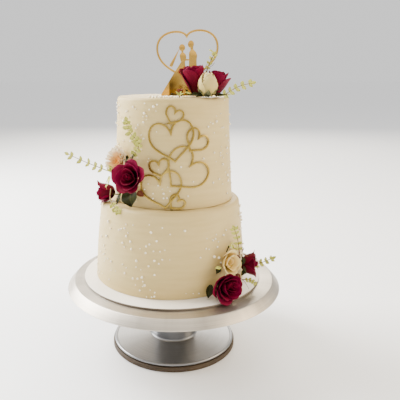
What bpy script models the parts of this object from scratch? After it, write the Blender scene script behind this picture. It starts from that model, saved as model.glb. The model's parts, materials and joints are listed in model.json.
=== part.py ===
# Two-tier celebration cake with flowers, gold hearts and a topper, on a revolving cake stand.
# Metres, +Z up. The origin is the centre of the stand's flat underside.
# The front of the cake faces -Y, and angles round it are counted from -Y towards +X.

import math
import random

import bmesh
import bpy
from mathutils import Matrix, Vector, noise

MM = 0.001
GAP = 0.3 * MM                      # clearance between pieces that touch in the real object

# Stand
PAD_RADIUS = 89.4 * MM
PAD_HEIGHT = 6.4 * MM
BASE_RADIUS = 87.6 * MM
BASE_RIM_WIDTH = 4.6 * MM
BASE_RIM_TOP = 10.9 * MM
BASE_HUB_FOOT = 12.6 * MM
HUB_RADIUS = 32.6 * MM
HUB_FOOT_FLARE = 3.0 * MM
HUB_TOP = 95.0 * MM
SPINDLE_RADIUS = 9.0 * MM
SPINDLE_TOP = 98.8 * MM
RUNNING_CLEARANCE = 0.5 * MM
PLATE_RADIUS = 152.4 * MM
PLATE_TOP_RADIUS = 141.8 * MM
PLATE_TOP = 103.4 * MM
PLATE_SKIRT_FOOT = 91.8 * MM
PLATE_THICKNESS = 3.0 * MM
PLATE_SKIRT_WALL = 3.4 * MM
PLATE_BOSS_RADIUS = 36.0 * MM

# Cake board
BOARD_RADIUS = 127.0 * MM
BOARD_THICKNESS = 3.0 * MM
BOARD_CENTRE = Vector((-2.4, 3.8, 0)) * MM
BOARD_BOTTOM = PLATE_TOP + GAP
BOARD_TOP = BOARD_BOTTOM + BOARD_THICKNESS

# Tiers: each is a round cake whose side leans in towards its top
LOWER = {"centre": Vector((-5.0, 8.4, 0)) * MM, "foot": BOARD_TOP + GAP, "top": 218.8 * MM,
         "radius": 107.5 * MM, "taper": 9.0 * MM, "power": 1.5, "edge": 6.5 * MM}
UPPER = {"centre": Vector((-0.8, 9.2, 0)) * MM, "foot": LOWER["top"] + GAP, "top": 362.0 * MM,
         "radius": 84.8 * MM, "taper": 7.0 * MM, "power": 0.8, "edge": 4.5 * MM}
TIER_SIDES = 40
TIER_ROWS = 4
ICING_RIPPLE = 0.25 * MM

# Sugar pearls
PEARL_RADIUS = (1.4 * MM, 2.0 * MM)
PEARL_SUNK = 0.58                   # share of a pearl's radius that lies in the icing
PEARL_SPACING = 8.0 * MM
PEARL_CLEARANCE = 3.6 * MM
PEARL_FOOT_SPACE = 4.0 * MM
PEARLS_IN_CLUSTERS = 0.65           # share of the pearls that lie in a cluster
CLUSTER_SPREAD = (0.15, 9.0 * MM)   # round the side in radians, and up it
PEARL_TRIES = 60
LOWER_CLUSTERS = [(-33, 181), (-12, 173), (-23, 147), (-22, 120), (-57, 150), (-62, 112), (29, 180),
                  (36, 152), (80, 190), (100, 130), (125, 170), (165, 190), (-120, 160), (-150, 130)]
UPPER_CLUSTERS = [(-27, 348), (-54, 335), (-33, 326), (-24, 234), (-7, 238), (46, 325), (55, 290),
                  (61, 250), (95, 240), (110, 330), (150, 280), (-110, 300), (-150, 250), (-80, 345)]
TOP_PEARLS = [(-22.0, -52.0), (-15.5, -55.5), (-9.0, -53.0), (-2.5, -58.0), (5.0, -60.5)]

# Hearts on the front of the upper tier: place of the tip round and up the side, width, lean
HEART_STROKE = 2.7 * MM
HEART_THICKNESS = 1.4 * MM
HEART_STANDOFF = 0.8 * MM
HEART_RISE = 0.37                   # pull of the lobes over the notch, as a share of the width
HEART_WIDEST = 0.0                  # height of the widest place over the notch
HEART_FLANK = ((0.5, 0.295), (0.18, 0.2))    # pulls that shape a side below its widest place
HEART_SIZE_RADIUS = 81.0 * MM       # radius at which the widths and places are measured
HEARTS = [
    {"tip": (-3.8, 330.4), "width": 23.0, "lean": 26.0, "height": 0.60},
    {"tip": (2.7, 281.6), "width": 58.5, "lean": -9.0, "height": 0.59},
    {"tip": (21.6, 295.2), "width": 32.5, "lean": 38.0, "height": 0.58},
    {"tip": (-2.6, 249.8), "width": 58.5, "lean": 43.5, "height": 0.59},
    {"tip": (-15.0, 262.0), "width": 25.5, "lean": -12.0, "height": 0.58},
    {"tip": (-9.2, 221.6), "width": 53.0, "lean": -13.0, "height": 0.58},
    {"tip": (-2.4, 221.6), "width": 20.0, "lean": 43.0, "height": 0.60},
]

# Topper: a flat gold sheet standing on the cake
TOPPER_Y = -6.0 * MM
TOPPER_THICKNESS = 3.0 * MM
TOPPER_FOOT = UPPER["top"] + GAP
TOPPER_HEART = {"tip": (21.1, 386.0), "width": 82.0, "lean": -3.6, "height": 0.683}
TOPPER_STROKE = 2.8 * MM
TOPPER_RISE = 0.14
TOPPER_WIDEST = -0.18
TOPPER_FLANK = ((0.5, 0.247), (0.238, 0.112))

# Outlines of the couple, across and up, in millimetres; the dress also stands on the cake
DRESS_FOOT = (-18.5, 40.0)
COUPLE = {
    "dress": [(31.0, 388.0), (30.6, 396.0), (21.4, 396.0), (20.0, 390.0), (17.0, 396.0), (15.2, 408.5),
              (10.2, 408.5), (0.5, 393.5)],
    "bodice": [(10.4, 408.0), (15.2, 408.0), (17.0, 414.0), (16.0, 418.6), (13.2, 421.0), (13.0, 424.5),
               (10.6, 424.5), (10.4, 421.0), (8.2, 417.5), (8.8, 412.5)],
    "veil": [(8.3, 427.4), (6.8, 424.8), (-5.4, 404.6), (-3.8, 401.8), (-1.4, 402.8)],
    "hands": [(14.6, 412.4), (22.0, 411.8), (22.0, 410.0), (14.6, 409.9)],
    "suit": [(21.4, 395.0), (30.6, 395.0), (31.2, 411.0), (31.8, 416.5), (30.0, 421.5), (26.6, 425.0),
             (26.2, 428.5), (22.6, 428.5), (22.9, 424.5), (20.8, 420.5), (20.8, 412.0)],
}
HEADS = {"left": ((11.3, 427.2), 4.1, 4.7), "right": ((23.3, 431.8), 4.1, 5.1)}

# Flowers: where each is fixed, which way it faces (round from the front, and up), and its size
ROSES = {
    "rose_top_left": {"base": (29.5, -27.0, 363.9), "faces": (-50, 81), "radius": 16.0, "height": 38.0},
    "rose_top_right": {"base": (56.0, -22.5, 363.5), "faces": (72, 80), "radius": 15.2, "height": 34.0},
    "rose_left_large": {"base": (-47.8, -63.2, 256.0), "faces": (-32, 18), "radius": 23.5, "height": 27.0},
    "rose_left_small": {"base": (-80.3, -26.0, 232.5), "faces": (-88, -6), "radius": 15.2, "height": 28.0},
    "rose_right_large": {"base": (58.3, -82.0, 118.0), "faces": (34, 15), "radius": 22.5, "height": 31.0,
                         "flatten": 0.80, "heart": (0.36, 0.1)},
    "rose_right_side": {"base": (91.5, -43.6, 133.5), "faces": (78, 5), "radius": 17.6, "height": 25.0},
    "rose_cream": {"base": (67.6, -70.8, 147.5), "faces": (38, 10), "radius": 15.0, "height": 19.0},
}
WHITE_BUD = {"base": (43.4, -47.0, 362.9), "faces": (10, 84), "radius": 13.0, "height": 32.0}
FLUFFY_FLOWER = {"base": (-71.0, -41.0, 279.5), "faces": (-46, 20), "radius": 17.5, "height": 14.0}
RED_BUD = {"base": (78.2, -61.6, 131.0), "faces": (28, -8), "radius": 3.2, "height": 19.0}
CALYX = {"base": (8.5, -46.0, 362.6), "faces": (-20, 80), "radius": 4.0, "height": 11.5}

# Leaves: base, tip and width
LEAF_THICKNESS = 0.6 * MM
LIFT_ON_TOP, LIFT_ON_SIDE = 5.0, 0.9     # how far a leaf's face is turned up, on a tier and at its side
LEAF_FOLD, LEAF_WAVE, LEAF_BLUNTNESS = 0.10, 0.05, 0.8
LEAVES = {
    "leaf_top_front": ((31.0, -52.5, 364.6), (14.0, -57.0, 366.5), 9.0),
    "leaf_top_left": ((14.5, -36.0, 364.2), (-4.0, -42.0, 366.0), 8.0),
    "leaf_top_right": ((55.0, -51.0, 364.2), (70.0, -46.0, 365.6), 8.0),
    "leaf_left_under": ((-58.5, -60.5, 242.0), (-55.5, -68.0, 222.5), 23.5),
    "leaf_left_low": ((-70.5, -52.0, 236.5), (-75.5, -58.5, 221.0), 8.0),
    "leaf_left_red": ((-47.5, -66.5, 241.0), (-38.5, -72.0, 236.0), 8.5),
    "leaf_right_low": ((47.6, -92.6, 125.0), (43.4, -98.6, 109.2), 10.5),
    "leaf_right_left": ((60.0, -82.5, 145.5), (54.5, -91.0, 139.0), 8.0),
    "leaf_right_upper": ((80.5, -61.5, 163.0), (77.0, -67.5, 169.5), 7.5),
}

# Sprigs: the stem's route, how many pairs of leaves it has from which share of it on, and their size
STEM_RADIUS = 0.8 * MM
SPRIG_LEAF = (8.0, 3.8)
SPRIG_LEAF_THICKNESS = 1.0 * MM
SPRIG_LAST_PAIR = 0.94              # share of the stem's length at which the last pair grows
SPRIG_LEAF_VARIES = (0.8, 1.1)
SPRIGS = {
    "sprig_top_up": {"route": [(43.6, -27.0, 363.0), (43.0, -27.2, 385.0), (44.6, -27.4, 399.0),
                               (48.6, -27.6, 409.0), (53.6, -28.0, 418.0)], "pairs": 5, "from": 0.58},
    "sprig_top_right": {"route": [(57.5, -41.5, 363.6), (66.0, -39.5, 364.6), (77.0, -34.5, 371.0),
                                  (89.0, -31.0, 376.5), (104.0, -27.0, 380.0)], "pairs": 5, "from": 0.25},
    "sprig_left_out": {"route": [(-77.0, -38.5, 260.0), (-90.0, -33.5, 262.5), (-104.7, -28.0, 267.0),
                                 (-122.0, -25.5, 273.5), (-144.5, -22.0, 283.0)], "pairs": 5, "from": 0.38},
    "sprig_left_up": {"route": [(-56.5, -57.8, 284.0), (-48.5, -62.5, 294.0), (-44.5, -64.0, 303.5),
                                (-50.0, -60.5, 310.0), (-59.0, -54.5, 319.5), (-61.5, -53.0, 332.0)],
                      "pairs": 7, "from": 0.1, "leaf": (9.0, 5.2)},
    "sprig_left_down": {"route": [(-80.5, -48.5, 243.0), (-84.5, -55.0, 230.0), (-85.0, -61.5, 221.5),
                                  (-81.0, -66.0, 212.5)], "pairs": 3, "from": 0.4, "leaf": (8.0, 5.0)},
    "sprig_right_up": {"route": [(88.5, -54.5, 150.0), (87.0, -57.5, 165.0), (83.5, -61.0, 180.0),
                                 (79.5, -64.5, 190.5)], "pairs": 5, "from": 0.2, "leaf": (9.0, 4.6)},
    "sprig_right_out": {"route": [(103.5, -18.5, 122.0), (114.5, -22.0, 125.0), (126.0, -28.0, 130.5),
                                  (137.5, -32.0, 137.5)], "pairs": 4, "from": 0.35},
    "sprig_right_low": {"route": [(90.5, -56.5, 124.0), (97.0, -60.0, 120.0), (102.0, -63.0, 116.0),
                                  (105.0, -66.5, 112.5)], "pairs": 3, "from": 0.35, "leaf": (7.0, 4.2)},
}
SPRIG_FACING = Vector((0, -1, 0))


def clear_scene():
    for old in list(bpy.data.objects):
        bpy.data.objects.remove(old, do_unlink=True)


def material(name, colour, roughness, metallic=0.0):
    made = bpy.data.materials.new(name)
    made.use_nodes = True
    shader = made.node_tree.nodes["Principled BSDF"]
    shader.inputs["Base Color"].default_value = (*colour, 1.0)
    shader.inputs["Roughness"].default_value = roughness
    shader.inputs["Metallic"].default_value = metallic
    made.diffuse_color = (*colour, 1.0)
    return made


def add_object(name, mesh, finish, parent=None):
    made = bpy.data.objects.new(name, mesh)
    bpy.context.collection.objects.link(made)
    mesh.materials.clear()
    mesh.materials.append(finish)
    made.parent = parent
    return made


def mesh_from(name, bm, smooth=True):
    """Close a bmesh's loose ends, point its faces out and turn it into a mesh."""
    bmesh.ops.remove_doubles(bm, verts=bm.verts, dist=0.002 * MM)
    bmesh.ops.recalc_face_normals(bm, faces=bm.faces)
    mesh = bpy.data.meshes.new(name)
    bm.to_mesh(mesh)
    bm.free()
    if smooth:
        mesh.shade_smooth()
        mesh.set_sharp_from_angle(angle=math.radians(40))
    return mesh


def turned(name, profile, sides, centre=Vector()):
    """Spin a profile of (radius, height) points that starts and ends on the axis."""
    bm = bmesh.new()
    points = [bm.verts.new((radius, 0, height)) for radius, height in profile]
    edges = [bm.edges.new(pair) for pair in zip(points, points[1:])]
    bmesh.ops.spin(bm, geom=points + edges, cent=(0, 0, 0), axis=(0, 0, 1),
                   angle=math.tau, steps=sides, use_merge=True)
    bmesh.ops.translate(bm, verts=bm.verts, vec=centre)
    return mesh_from(name, bm)


def quarter_round(radius, height, size, steps):
    """Points of a rounded outer top edge, from the side up to the top."""
    turns = [math.radians(90) * step / steps for step in range(steps + 1)]
    middle = (radius - size, height - size)
    return [(middle[0] + size * math.cos(turn), middle[1] + size * math.sin(turn)) for turn in turns]


def union(name, pieces, solver="EXACT"):
    """Join solids into one closed mesh; the first piece takes up all the others."""
    first, others = pieces[0], pieces[1:]
    gathered = bpy.data.collections.new(name + "_pieces")
    bpy.context.scene.collection.children.link(gathered)
    for piece in others:
        bpy.context.collection.objects.unlink(piece)
        gathered.objects.link(piece)
    joining = first.modifiers.new("join", "BOOLEAN")
    joining.operation = "UNION"
    joining.operand_type = "COLLECTION"
    joining.collection = gathered
    joining.solver = solver
    seen = first.evaluated_get(bpy.context.evaluated_depsgraph_get())
    mesh = bpy.data.meshes.new_from_object(seen)
    mesh.name = name
    for piece in pieces:
        bpy.data.objects.remove(piece, do_unlink=True)
    bpy.data.collections.remove(gathered)
    return mesh


def direction(faces):
    """Unit vector from an angle round the front and an angle up, in degrees."""
    around, up = (math.radians(angle) for angle in faces)
    return Vector((math.sin(around) * math.cos(up), -math.cos(around) * math.cos(up), math.sin(up)))


def place_on(base, heading):
    """Matrix that stands a shape's +Z along the heading at the base point."""
    return Matrix.Translation(base) @ heading.to_track_quat("Z", "Y").to_matrix().to_4x4()


def tier_radius(tier, height):
    """Radius of a tier's side at a height, without its ripples."""
    share = (height - tier["foot"]) / (tier["top"] - tier["foot"])
    return tier["radius"] - tier["taper"] * min(max(share, 0.0), 1.0) ** tier["power"]


def tier_point(tier, around, height, standoff=0.0):
    """Point on a tier's side at an angle round the front, in radians."""
    radius = tier_radius(tier, height) + standoff
    return tier["centre"] + Vector((radius * math.sin(around), -radius * math.cos(around), height))


def tier_mesh(name, tier, seed):
    foot, top, edge = tier["foot"], tier["top"], tier["edge"]
    heights = [foot + (top - edge - foot) * row / TIER_ROWS for row in range(TIER_ROWS)]
    side = [(tier_radius(tier, height), height) for height in heights]
    rounded = quarter_round(tier_radius(tier, top - edge), top, edge, 3)
    inner = rounded[-1][0] * 0.5
    profile = [(0, foot)] + side + rounded + [(inner, top), (0, top)]
    mesh = turned(name, profile, TIER_SIDES)
    wander = Vector((seed, seed * 0.7, 0))
    for vert in mesh.vertices:
        if foot < vert.co.z < top and math.hypot(vert.co.x, vert.co.y) > inner:
            shift = ICING_RIPPLE * noise.noise(vert.co * 60 + wander)
            vert.co += Vector((vert.co.x, vert.co.y, 0)).normalized() * shift
    mesh.transform(Matrix.Translation(tier["centre"]))
    return mesh


def bezier(start, pull_start, pull_end, end, steps):
    """Points along one cubic curve."""
    found = []
    for step in range(steps + 1):
        t = step / steps
        s = 1 - t
        found.append(start * s ** 3 + pull_start * 3 * s * s * t + pull_end * 3 * s * t * t + end * t ** 3)
    return found


def heart_half(heart, side, steps, rise, widest, pulls):
    """Middle line of half a heart, from the notch over the lobe down to the tip."""
    notch = heart["height"]
    lobe = [Vector((0, notch)), Vector((0.04, notch + rise)), Vector((0.5, notch + rise)),
            Vector((0.5, notch + widest))]
    flank = [lobe[3], Vector(pulls[0]), Vector(pulls[1]), Vector((0, 0))]
    line = bezier(*lobe, steps) + bezier(*flank, steps)[1:]
    turn = Matrix.Rotation(math.radians(-heart["lean"]), 2)
    tip = Vector(heart["tip"])
    return [(turn @ Vector((side * p.x, p.y)) * heart["width"] + tip) * MM for p in line]


def strip(name, line, width, thickness, finish):
    """Flat ribbon of even width along a line in the XZ plane, from Y = 0 to Y = -thickness."""
    bm = bmesh.new()
    rims = []
    for index, point in enumerate(line):
        before, after = line[max(index - 1, 0)], line[min(index + 1, len(line) - 1)]
        along = (after - before).normalized()
        across = Vector((-along.y, along.x)) * width / 2
        left, right = point + across, point - across
        rims.append([bm.verts.new((left.x, 0, left.y)), bm.verts.new((right.x, 0, right.y)),
                     bm.verts.new((right.x, -thickness, right.y)),
                     bm.verts.new((left.x, -thickness, left.y))])
    for low, high in zip(rims, rims[1:]):
        for corner in range(4):
            after = (corner + 1) % 4
            bm.faces.new((low[corner], low[after], high[after], high[corner]))
    bm.faces.new(rims[0])
    bm.faces.new(reversed(rims[-1]))
    return add_object(name, mesh_from(name, bm, smooth=False), finish)


def slab(name, outline, thickness, finish):
    """Flat plate with the given outline in the XZ plane, from Y = 0 to Y = -thickness."""
    bm = bmesh.new()
    face = bm.faces.new([bm.verts.new((x * MM, 0, z * MM)) for x, z in outline])
    grown = bmesh.ops.extrude_face_region(bm, geom=[face])["geom"]
    moved = [item for item in grown if isinstance(item, bmesh.types.BMVert)]
    bmesh.ops.translate(bm, verts=moved, vec=(0, -thickness, 0))
    return add_object(name, mesh_from(name, bm, smooth=False), finish)


def oval(centre, half_width, half_height, steps=12):
    return [(centre[0] + half_width * math.cos(math.tau * step / steps),
             centre[1] + half_height * math.sin(math.tau * step / steps)) for step in range(steps)]


def heart_lines():
    """Middle lines of the seven hearts, laid flat, as pairs of halves."""
    lines = []
    for heart in HEARTS:
        steps = 6 if heart["width"] > 40 else 5
        lines += [heart_half(heart, side, steps, HEART_RISE, HEART_WIDEST, HEART_FLANK) for side in (-1, 1)]
    return lines


def hearts_mesh(finish):
    """Seven hearts joined flat and then bent round the upper tier's side."""
    pieces = [strip("half", line, HEART_STROKE, HEART_THICKNESS, finish) for line in heart_lines()]
    mesh = union("hearts", pieces)
    for vert in mesh.vertices:
        around = vert.co.x / HEART_SIZE_RADIUS
        vert.co = tier_point(UPPER, around, vert.co.z, HEART_STANDOFF - vert.co.y)
    return mesh


def topper_mesh(finish):
    """Heart outline with a couple's plain silhouettes, cut from one sheet."""
    thick = TOPPER_THICKNESS
    lines = [heart_half(TOPPER_HEART, side, 10, TOPPER_RISE, TOPPER_WIDEST, TOPPER_FLANK) for side in (-1, 1)]
    pieces = [strip("half", line, TOPPER_STROKE, thick, finish) for line in lines]
    foot = [(across, TOPPER_FOOT / MM) for across in DRESS_FOOT]
    shapes = [foot + outline if name == "dress" else outline for name, outline in COUPLE.items()]
    shapes += [oval(*head) for head in HEADS.values()]
    pieces += [slab("shape", outline, thick, finish) for outline in shapes]
    mesh = union("topper", pieces)
    mesh.transform(Matrix.Translation((0, TOPPER_Y + thick / 2, 0)))
    return mesh


# Height and radius of a rose's rings as shares of its size; each ridge is the rim of a whorl of petals
ROSE_RINGS = [
    {"radius": 0.20, "height": 0.00, "petals": 0.0}, {"radius": 0.47, "height": 0.18, "petals": 0.2},
    {"radius": 0.72, "height": 0.44, "petals": 0.5}, {"radius": 0.91, "height": 0.70, "petals": 0.8},
    {"radius": 1.00, "height": 0.87, "petals": 1.0}, {"radius": 0.84, "height": 0.80, "petals": 0.6},
    {"radius": 0.76, "height": 0.96, "petals": 0.8}, {"radius": 0.56, "height": 0.84, "petals": 0.4},
    {"radius": 0.49, "height": 1.00, "petals": 0.6}, {"radius": 0.30, "height": 0.86, "petals": 0.2},
    {"radius": 0.22, "height": 0.98, "petals": 0.3},
]
ROSE_SIDES = 13


def whorled_mesh(name, rings, flower, sides, lobes, depth, seed):
    """Closed flower made of rings whose edges rise and fall in petal lobes, closed at both poles."""
    rng = random.Random(seed)
    radius, height = flower["radius"] * MM, flower["height"] * MM
    flatten = flower.get("flatten", 1.0)
    heart = Vector(flower.get("heart", (0, 0))) * radius    # how far its middle lies to one side
    bm = bmesh.new()
    loops = []
    for level, ring in enumerate(rings):
        shift = rng.uniform(0, math.tau) + level * 0.6
        middle = heart * (1 - ring["radius"]) * ring["height"]
        loop = []
        for side in range(sides):
            turn = math.tau * side / sides
            lobe = ring["petals"] * depth * math.cos(lobes * turn + shift)
            reach = radius * ring["radius"] * (1 + lobe)
            rise = height * min(ring["height"] + 0.35 * lobe, 1.0)
            loop.append(bm.verts.new((middle.x + reach * math.cos(turn),
                                      middle.y + reach * math.sin(turn) * flatten, rise)))
        loops.append(loop)
    for low, high in zip(loops, loops[1:]):
        for side in range(sides):
            after = (side + 1) % sides
            bm.faces.new((low[side], low[after], high[after], high[side]))
    for loop, level in ((loops[0], 0.0), (loops[-1], rings[-1]["height"] - 0.08)):
        middle = heart * level if loop is loops[-1] else Vector((0, 0))
        pole = bm.verts.new((middle.x * (1 - rings[-1]["radius"]), middle.y * (1 - rings[-1]["radius"]),
                             height * level))
        for side in range(sides):
            bm.faces.new((loop[side], loop[(side + 1) % sides], pole))
    mesh = mesh_from(name, bm)
    mesh.transform(place_on(Vector(flower["base"]) * MM, direction(flower["faces"])))
    return mesh


BUD_RINGS = [
    {"radius": 0.24, "height": 0.00, "petals": 0.0}, {"radius": 0.62, "height": 0.08, "petals": 0.3},
    {"radius": 0.96, "height": 0.30, "petals": 0.3}, {"radius": 1.00, "height": 0.52, "petals": 0.2},
    {"radius": 0.86, "height": 0.76, "petals": 0.2}, {"radius": 0.56, "height": 0.93, "petals": 0.5},
    {"radius": 0.30, "height": 0.90, "petals": 0.3}, {"radius": 0.16, "height": 1.00, "petals": 0.2},
]
FLUFFY_RINGS = [
    {"radius": 0.20, "height": 0.00, "petals": 0.0}, {"radius": 0.72, "height": 0.24, "petals": 0.6},
    {"radius": 1.00, "height": 0.46, "petals": 1.0}, {"radius": 0.84, "height": 0.52, "petals": 0.8},
    {"radius": 0.80, "height": 0.84, "petals": 0.8}, {"radius": 0.62, "height": 0.80, "petals": 0.6},
    {"radius": 0.56, "height": 0.98, "petals": 0.6}, {"radius": 0.34, "height": 0.74, "petals": 0.4},
]
RED_BUD_RINGS = [
    {"radius": 0.26, "height": 0.00, "petals": 0.0}, {"radius": 0.26, "height": 0.50, "petals": 0.0},
    {"radius": 0.90, "height": 0.66, "petals": 0.0}, {"radius": 1.00, "height": 0.80, "petals": 0.2},
    {"radius": 0.40, "height": 0.98, "petals": 0.2},
]
CALYX_RINGS = [
    {"radius": 0.50, "height": 0.00, "petals": 0.0}, {"radius": 0.80, "height": 0.40, "petals": 0.2},
    {"radius": 1.00, "height": 0.85, "petals": 0.8}, {"radius": 0.50, "height": 0.80, "petals": 0.4},
]


def leaf_mesh(name, base, tip, width, seed):
    """Thin wavy leaf from its base to its tip, both faces split into the same triangles."""
    base, tip = Vector(base) * MM, Vector(tip) * MM
    length = (tip - base).length
    bm = bmesh.new()
    bmesh.ops.create_grid(bm, x_segments=5, y_segments=2, size=0.5)
    for vert in bm.verts:
        share, side = vert.co.x + 0.5, vert.co.y * 2
        spread = math.sin(math.pi * (0.06 + 0.90 * share) ** LEAF_BLUNTNESS)
        lift = LEAF_FOLD * (side * side - 0.5) + LEAF_WAVE * math.sin(9 * share + seed)
        vert.co = Vector((share * length, side * spread * width * MM / 2, lift * width * MM))
    bmesh.ops.triangulate(bm, faces=bm.faces)
    bmesh.ops.solidify(bm, geom=bm.faces, thickness=LEAF_THICKNESS)
    mesh = mesh_from(name, bm)
    along = (tip - base).normalized()
    lift = LIFT_ON_TOP if base.z > UPPER["top"] else LIFT_ON_SIDE
    outward = Vector((base.x, base.y, 0)).normalized() + Vector((0, 0, lift))
    across = outward.cross(along).normalized()
    turn = Matrix((along, across, along.cross(across))).transposed().to_4x4()
    mesh.transform(Matrix.Translation(base) @ turn)
    return mesh


def smooth_route(points, per_span):
    """Points of a smooth curve through the route's own points."""
    points = [Vector(point) * MM for point in points]
    ends = [points[0] * 2 - points[1]] + points + [points[-1] * 2 - points[-2]]
    found = []
    for before, start, end, after in zip(ends, ends[1:], ends[2:], ends[3:]):
        pulls = start + (end - before) / 6, end - (after - start) / 6
        found += bezier(start, *pulls, end, per_span)[:-1]
    return found + [points[-1]]


def stem(name, line, radius, finish):
    curve = bpy.data.curves.new(name, "CURVE")
    curve.dimensions = "3D"
    curve.bevel_depth = radius
    curve.bevel_resolution = 0
    curve.use_fill_caps = True
    spline = curve.splines.new("POLY")
    spline.points.add(len(line) - 1)
    for point, place in zip(spline.points, line):
        point.co = (*place, 1)
    made = bpy.data.objects.new(name, curve)
    bpy.context.collection.objects.link(made)
    seen = made.evaluated_get(bpy.context.evaluated_depsgraph_get())
    mesh = bpy.data.meshes.new_from_object(seen)
    bpy.data.objects.remove(made, do_unlink=True)
    return add_object(name, mesh, finish)


def small_leaf(name, root, heading, size, finish):
    """Small pointed leaf, thicker along its middle, from its root along the heading."""
    length, width = (extent * MM for extent in size)
    bm = bmesh.new()
    bmesh.ops.create_uvsphere(bm, u_segments=4, v_segments=2, radius=0.5)
    across = SPRIG_FACING.cross(heading).normalized()
    turn = Matrix((heading, across, heading.cross(across))).transposed().to_4x4()
    for vert in bm.verts:
        vert.co = Vector(((vert.co.x + 0.44) * length, vert.co.y * width, vert.co.z * SPRIG_LEAF_THICKNESS))
    bmesh.ops.transform(bm, matrix=Matrix.Translation(root) @ turn, verts=bm.verts)
    return add_object(name, mesh_from(name, bm, smooth=False), finish)


def sprig_mesh(name, sprig, finish, seed):
    """Bent stem with pairs of small leaves and one at its end, joined into one solid."""
    rng = random.Random(seed)
    line = smooth_route(sprig["route"], 2)
    leaf = sprig.get("leaf", SPRIG_LEAF)
    pieces = [stem("stem", line, STEM_RADIUS, finish)]
    last = len(line) - 1
    for pair in range(sprig["pairs"]):
        share = sprig["from"] + (SPRIG_LAST_PAIR - sprig["from"]) * pair / (sprig["pairs"] - 1)
        here = min(int(share * last), last - 1)
        root = line[here].lerp(line[here + 1], share * last - here)
        along = (line[here + 1] - line[here]).normalized()
        across = SPRIG_FACING.cross(along).normalized()
        for side in (-1, 1):
            heading = along * rng.uniform(0.5, 0.8) + across * side + SPRIG_FACING * rng.uniform(0.1, 0.4)
            size = [extent * rng.uniform(*SPRIG_LEAF_VARIES) for extent in leaf]
            pieces.append(small_leaf("leaf", root, heading.normalized(), size, finish))
    heading = (line[-1] - line[-2]).normalized()
    pieces.append(small_leaf("leaf", line[-1] - heading * MM, heading, leaf, finish))
    return union(name, pieces)


def clear_of(spot, blocked, reach):
    return all((spot - other).length > reach for other in blocked)


def pearl_spots(tier, clusters, count, seed, blocked):
    """Spread pearls round a tier's side, most of them in clusters, clear of all that lies on it."""
    rng = random.Random(seed)
    lowest, highest = tier["foot"] + PEARL_FOOT_SPACE, tier["top"] - tier["edge"]
    spots = []
    for _ in range(count * PEARL_TRIES):
        if len(spots) == count:
            break
        if rng.random() < PEARLS_IN_CLUSTERS:
            around, height = rng.choice(clusters)
            around = math.radians(around) + rng.gauss(0, CLUSTER_SPREAD[0])
            height = height * MM + rng.gauss(0, CLUSTER_SPREAD[1])
        else:
            around, height = rng.uniform(-math.pi, math.pi), rng.uniform(lowest, highest)
        radius = rng.uniform(*PEARL_RADIUS)
        if not lowest < height < highest:
            continue
        spot = tier_point(tier, around, height, radius * (1 - PEARL_SUNK))
        known = [other for other, _ in spots]
        if clear_of(spot, known, PEARL_SPACING) and clear_of(spot, blocked, PEARL_CLEARANCE):
            spots.append((spot, radius))
    return spots


def pearled_tier(name, tier, clusters, count, seed, blocked, finish):
    """A tier with the largest of its pearls; the upper one also has a few on its top."""
    cake = add_object(name + "_cake", tier_mesh(name, tier, seed), finish)
    spots = pearl_spots(tier, clusters, count, seed, blocked)
    if tier is UPPER:
        radius = PEARL_RADIUS[1]
        above = tier["top"] + radius * (1 - PEARL_SUNK)
        spots += [(Vector((x * MM, y * MM, above)), radius) for x, y in TOP_PEARLS]
    pearls = []
    rng = random.Random(seed + 1)
    for spot, radius in spots:
        bm = bmesh.new()
        bmesh.ops.create_icosphere(bm, subdivisions=1, radius=radius)
        spin = Matrix.Rotation(rng.uniform(0, math.tau), 4, (rng.random(), rng.random(), 1.0))
        bmesh.ops.transform(bm, matrix=Matrix.Translation(spot) @ spin, verts=bm.verts)
        pearls.append(add_object("pearl", mesh_from("pearl", bm, smooth=False), finish))
    return union(name, [cake] + pearls)


def pad_profile():
    chamfer = 0.6 * MM
    round_edge = quarter_round(PAD_RADIUS, PAD_HEIGHT, 1.5 * MM, 1)
    return [(0, 0), (PAD_RADIUS - chamfer, 0), (PAD_RADIUS, chamfer)] + round_edge + [(0, PAD_HEIGHT)]


def base_profile():
    foot = PAD_HEIGHT + GAP
    rim = BASE_RIM_WIDTH / 2
    height = rim * 0.9              # the rolled rim is a little flatter than it is wide
    inner = BASE_RADIUS - BASE_RIM_WIDTH
    roll = [(BASE_RADIUS - rim + rim * math.cos(turn), foot + height + height * math.sin(turn))
            for turn in (math.radians(angle) for angle in range(-60, 151, 42))]
    dish = (inner - MM, BASE_RIM_TOP - 1.2 * MM)
    flare = [(HUB_RADIUS + HUB_FOOT_FLARE * (1 - math.sin(turn)),
              BASE_HUB_FOOT + HUB_FOOT_FLARE * (1 - math.cos(turn)))
             for turn in (math.radians(angle) for angle in (0, 45, 90))]
    neck = [(HUB_RADIUS, HUB_TOP - MM), (HUB_RADIUS - MM, HUB_TOP)]
    spindle = [(SPINDLE_RADIUS, HUB_TOP), (SPINDLE_RADIUS, SPINDLE_TOP), (0, SPINDLE_TOP)]
    return [(0, foot), (inner, foot)] + roll + [dish] + flare + neck + spindle


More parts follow.
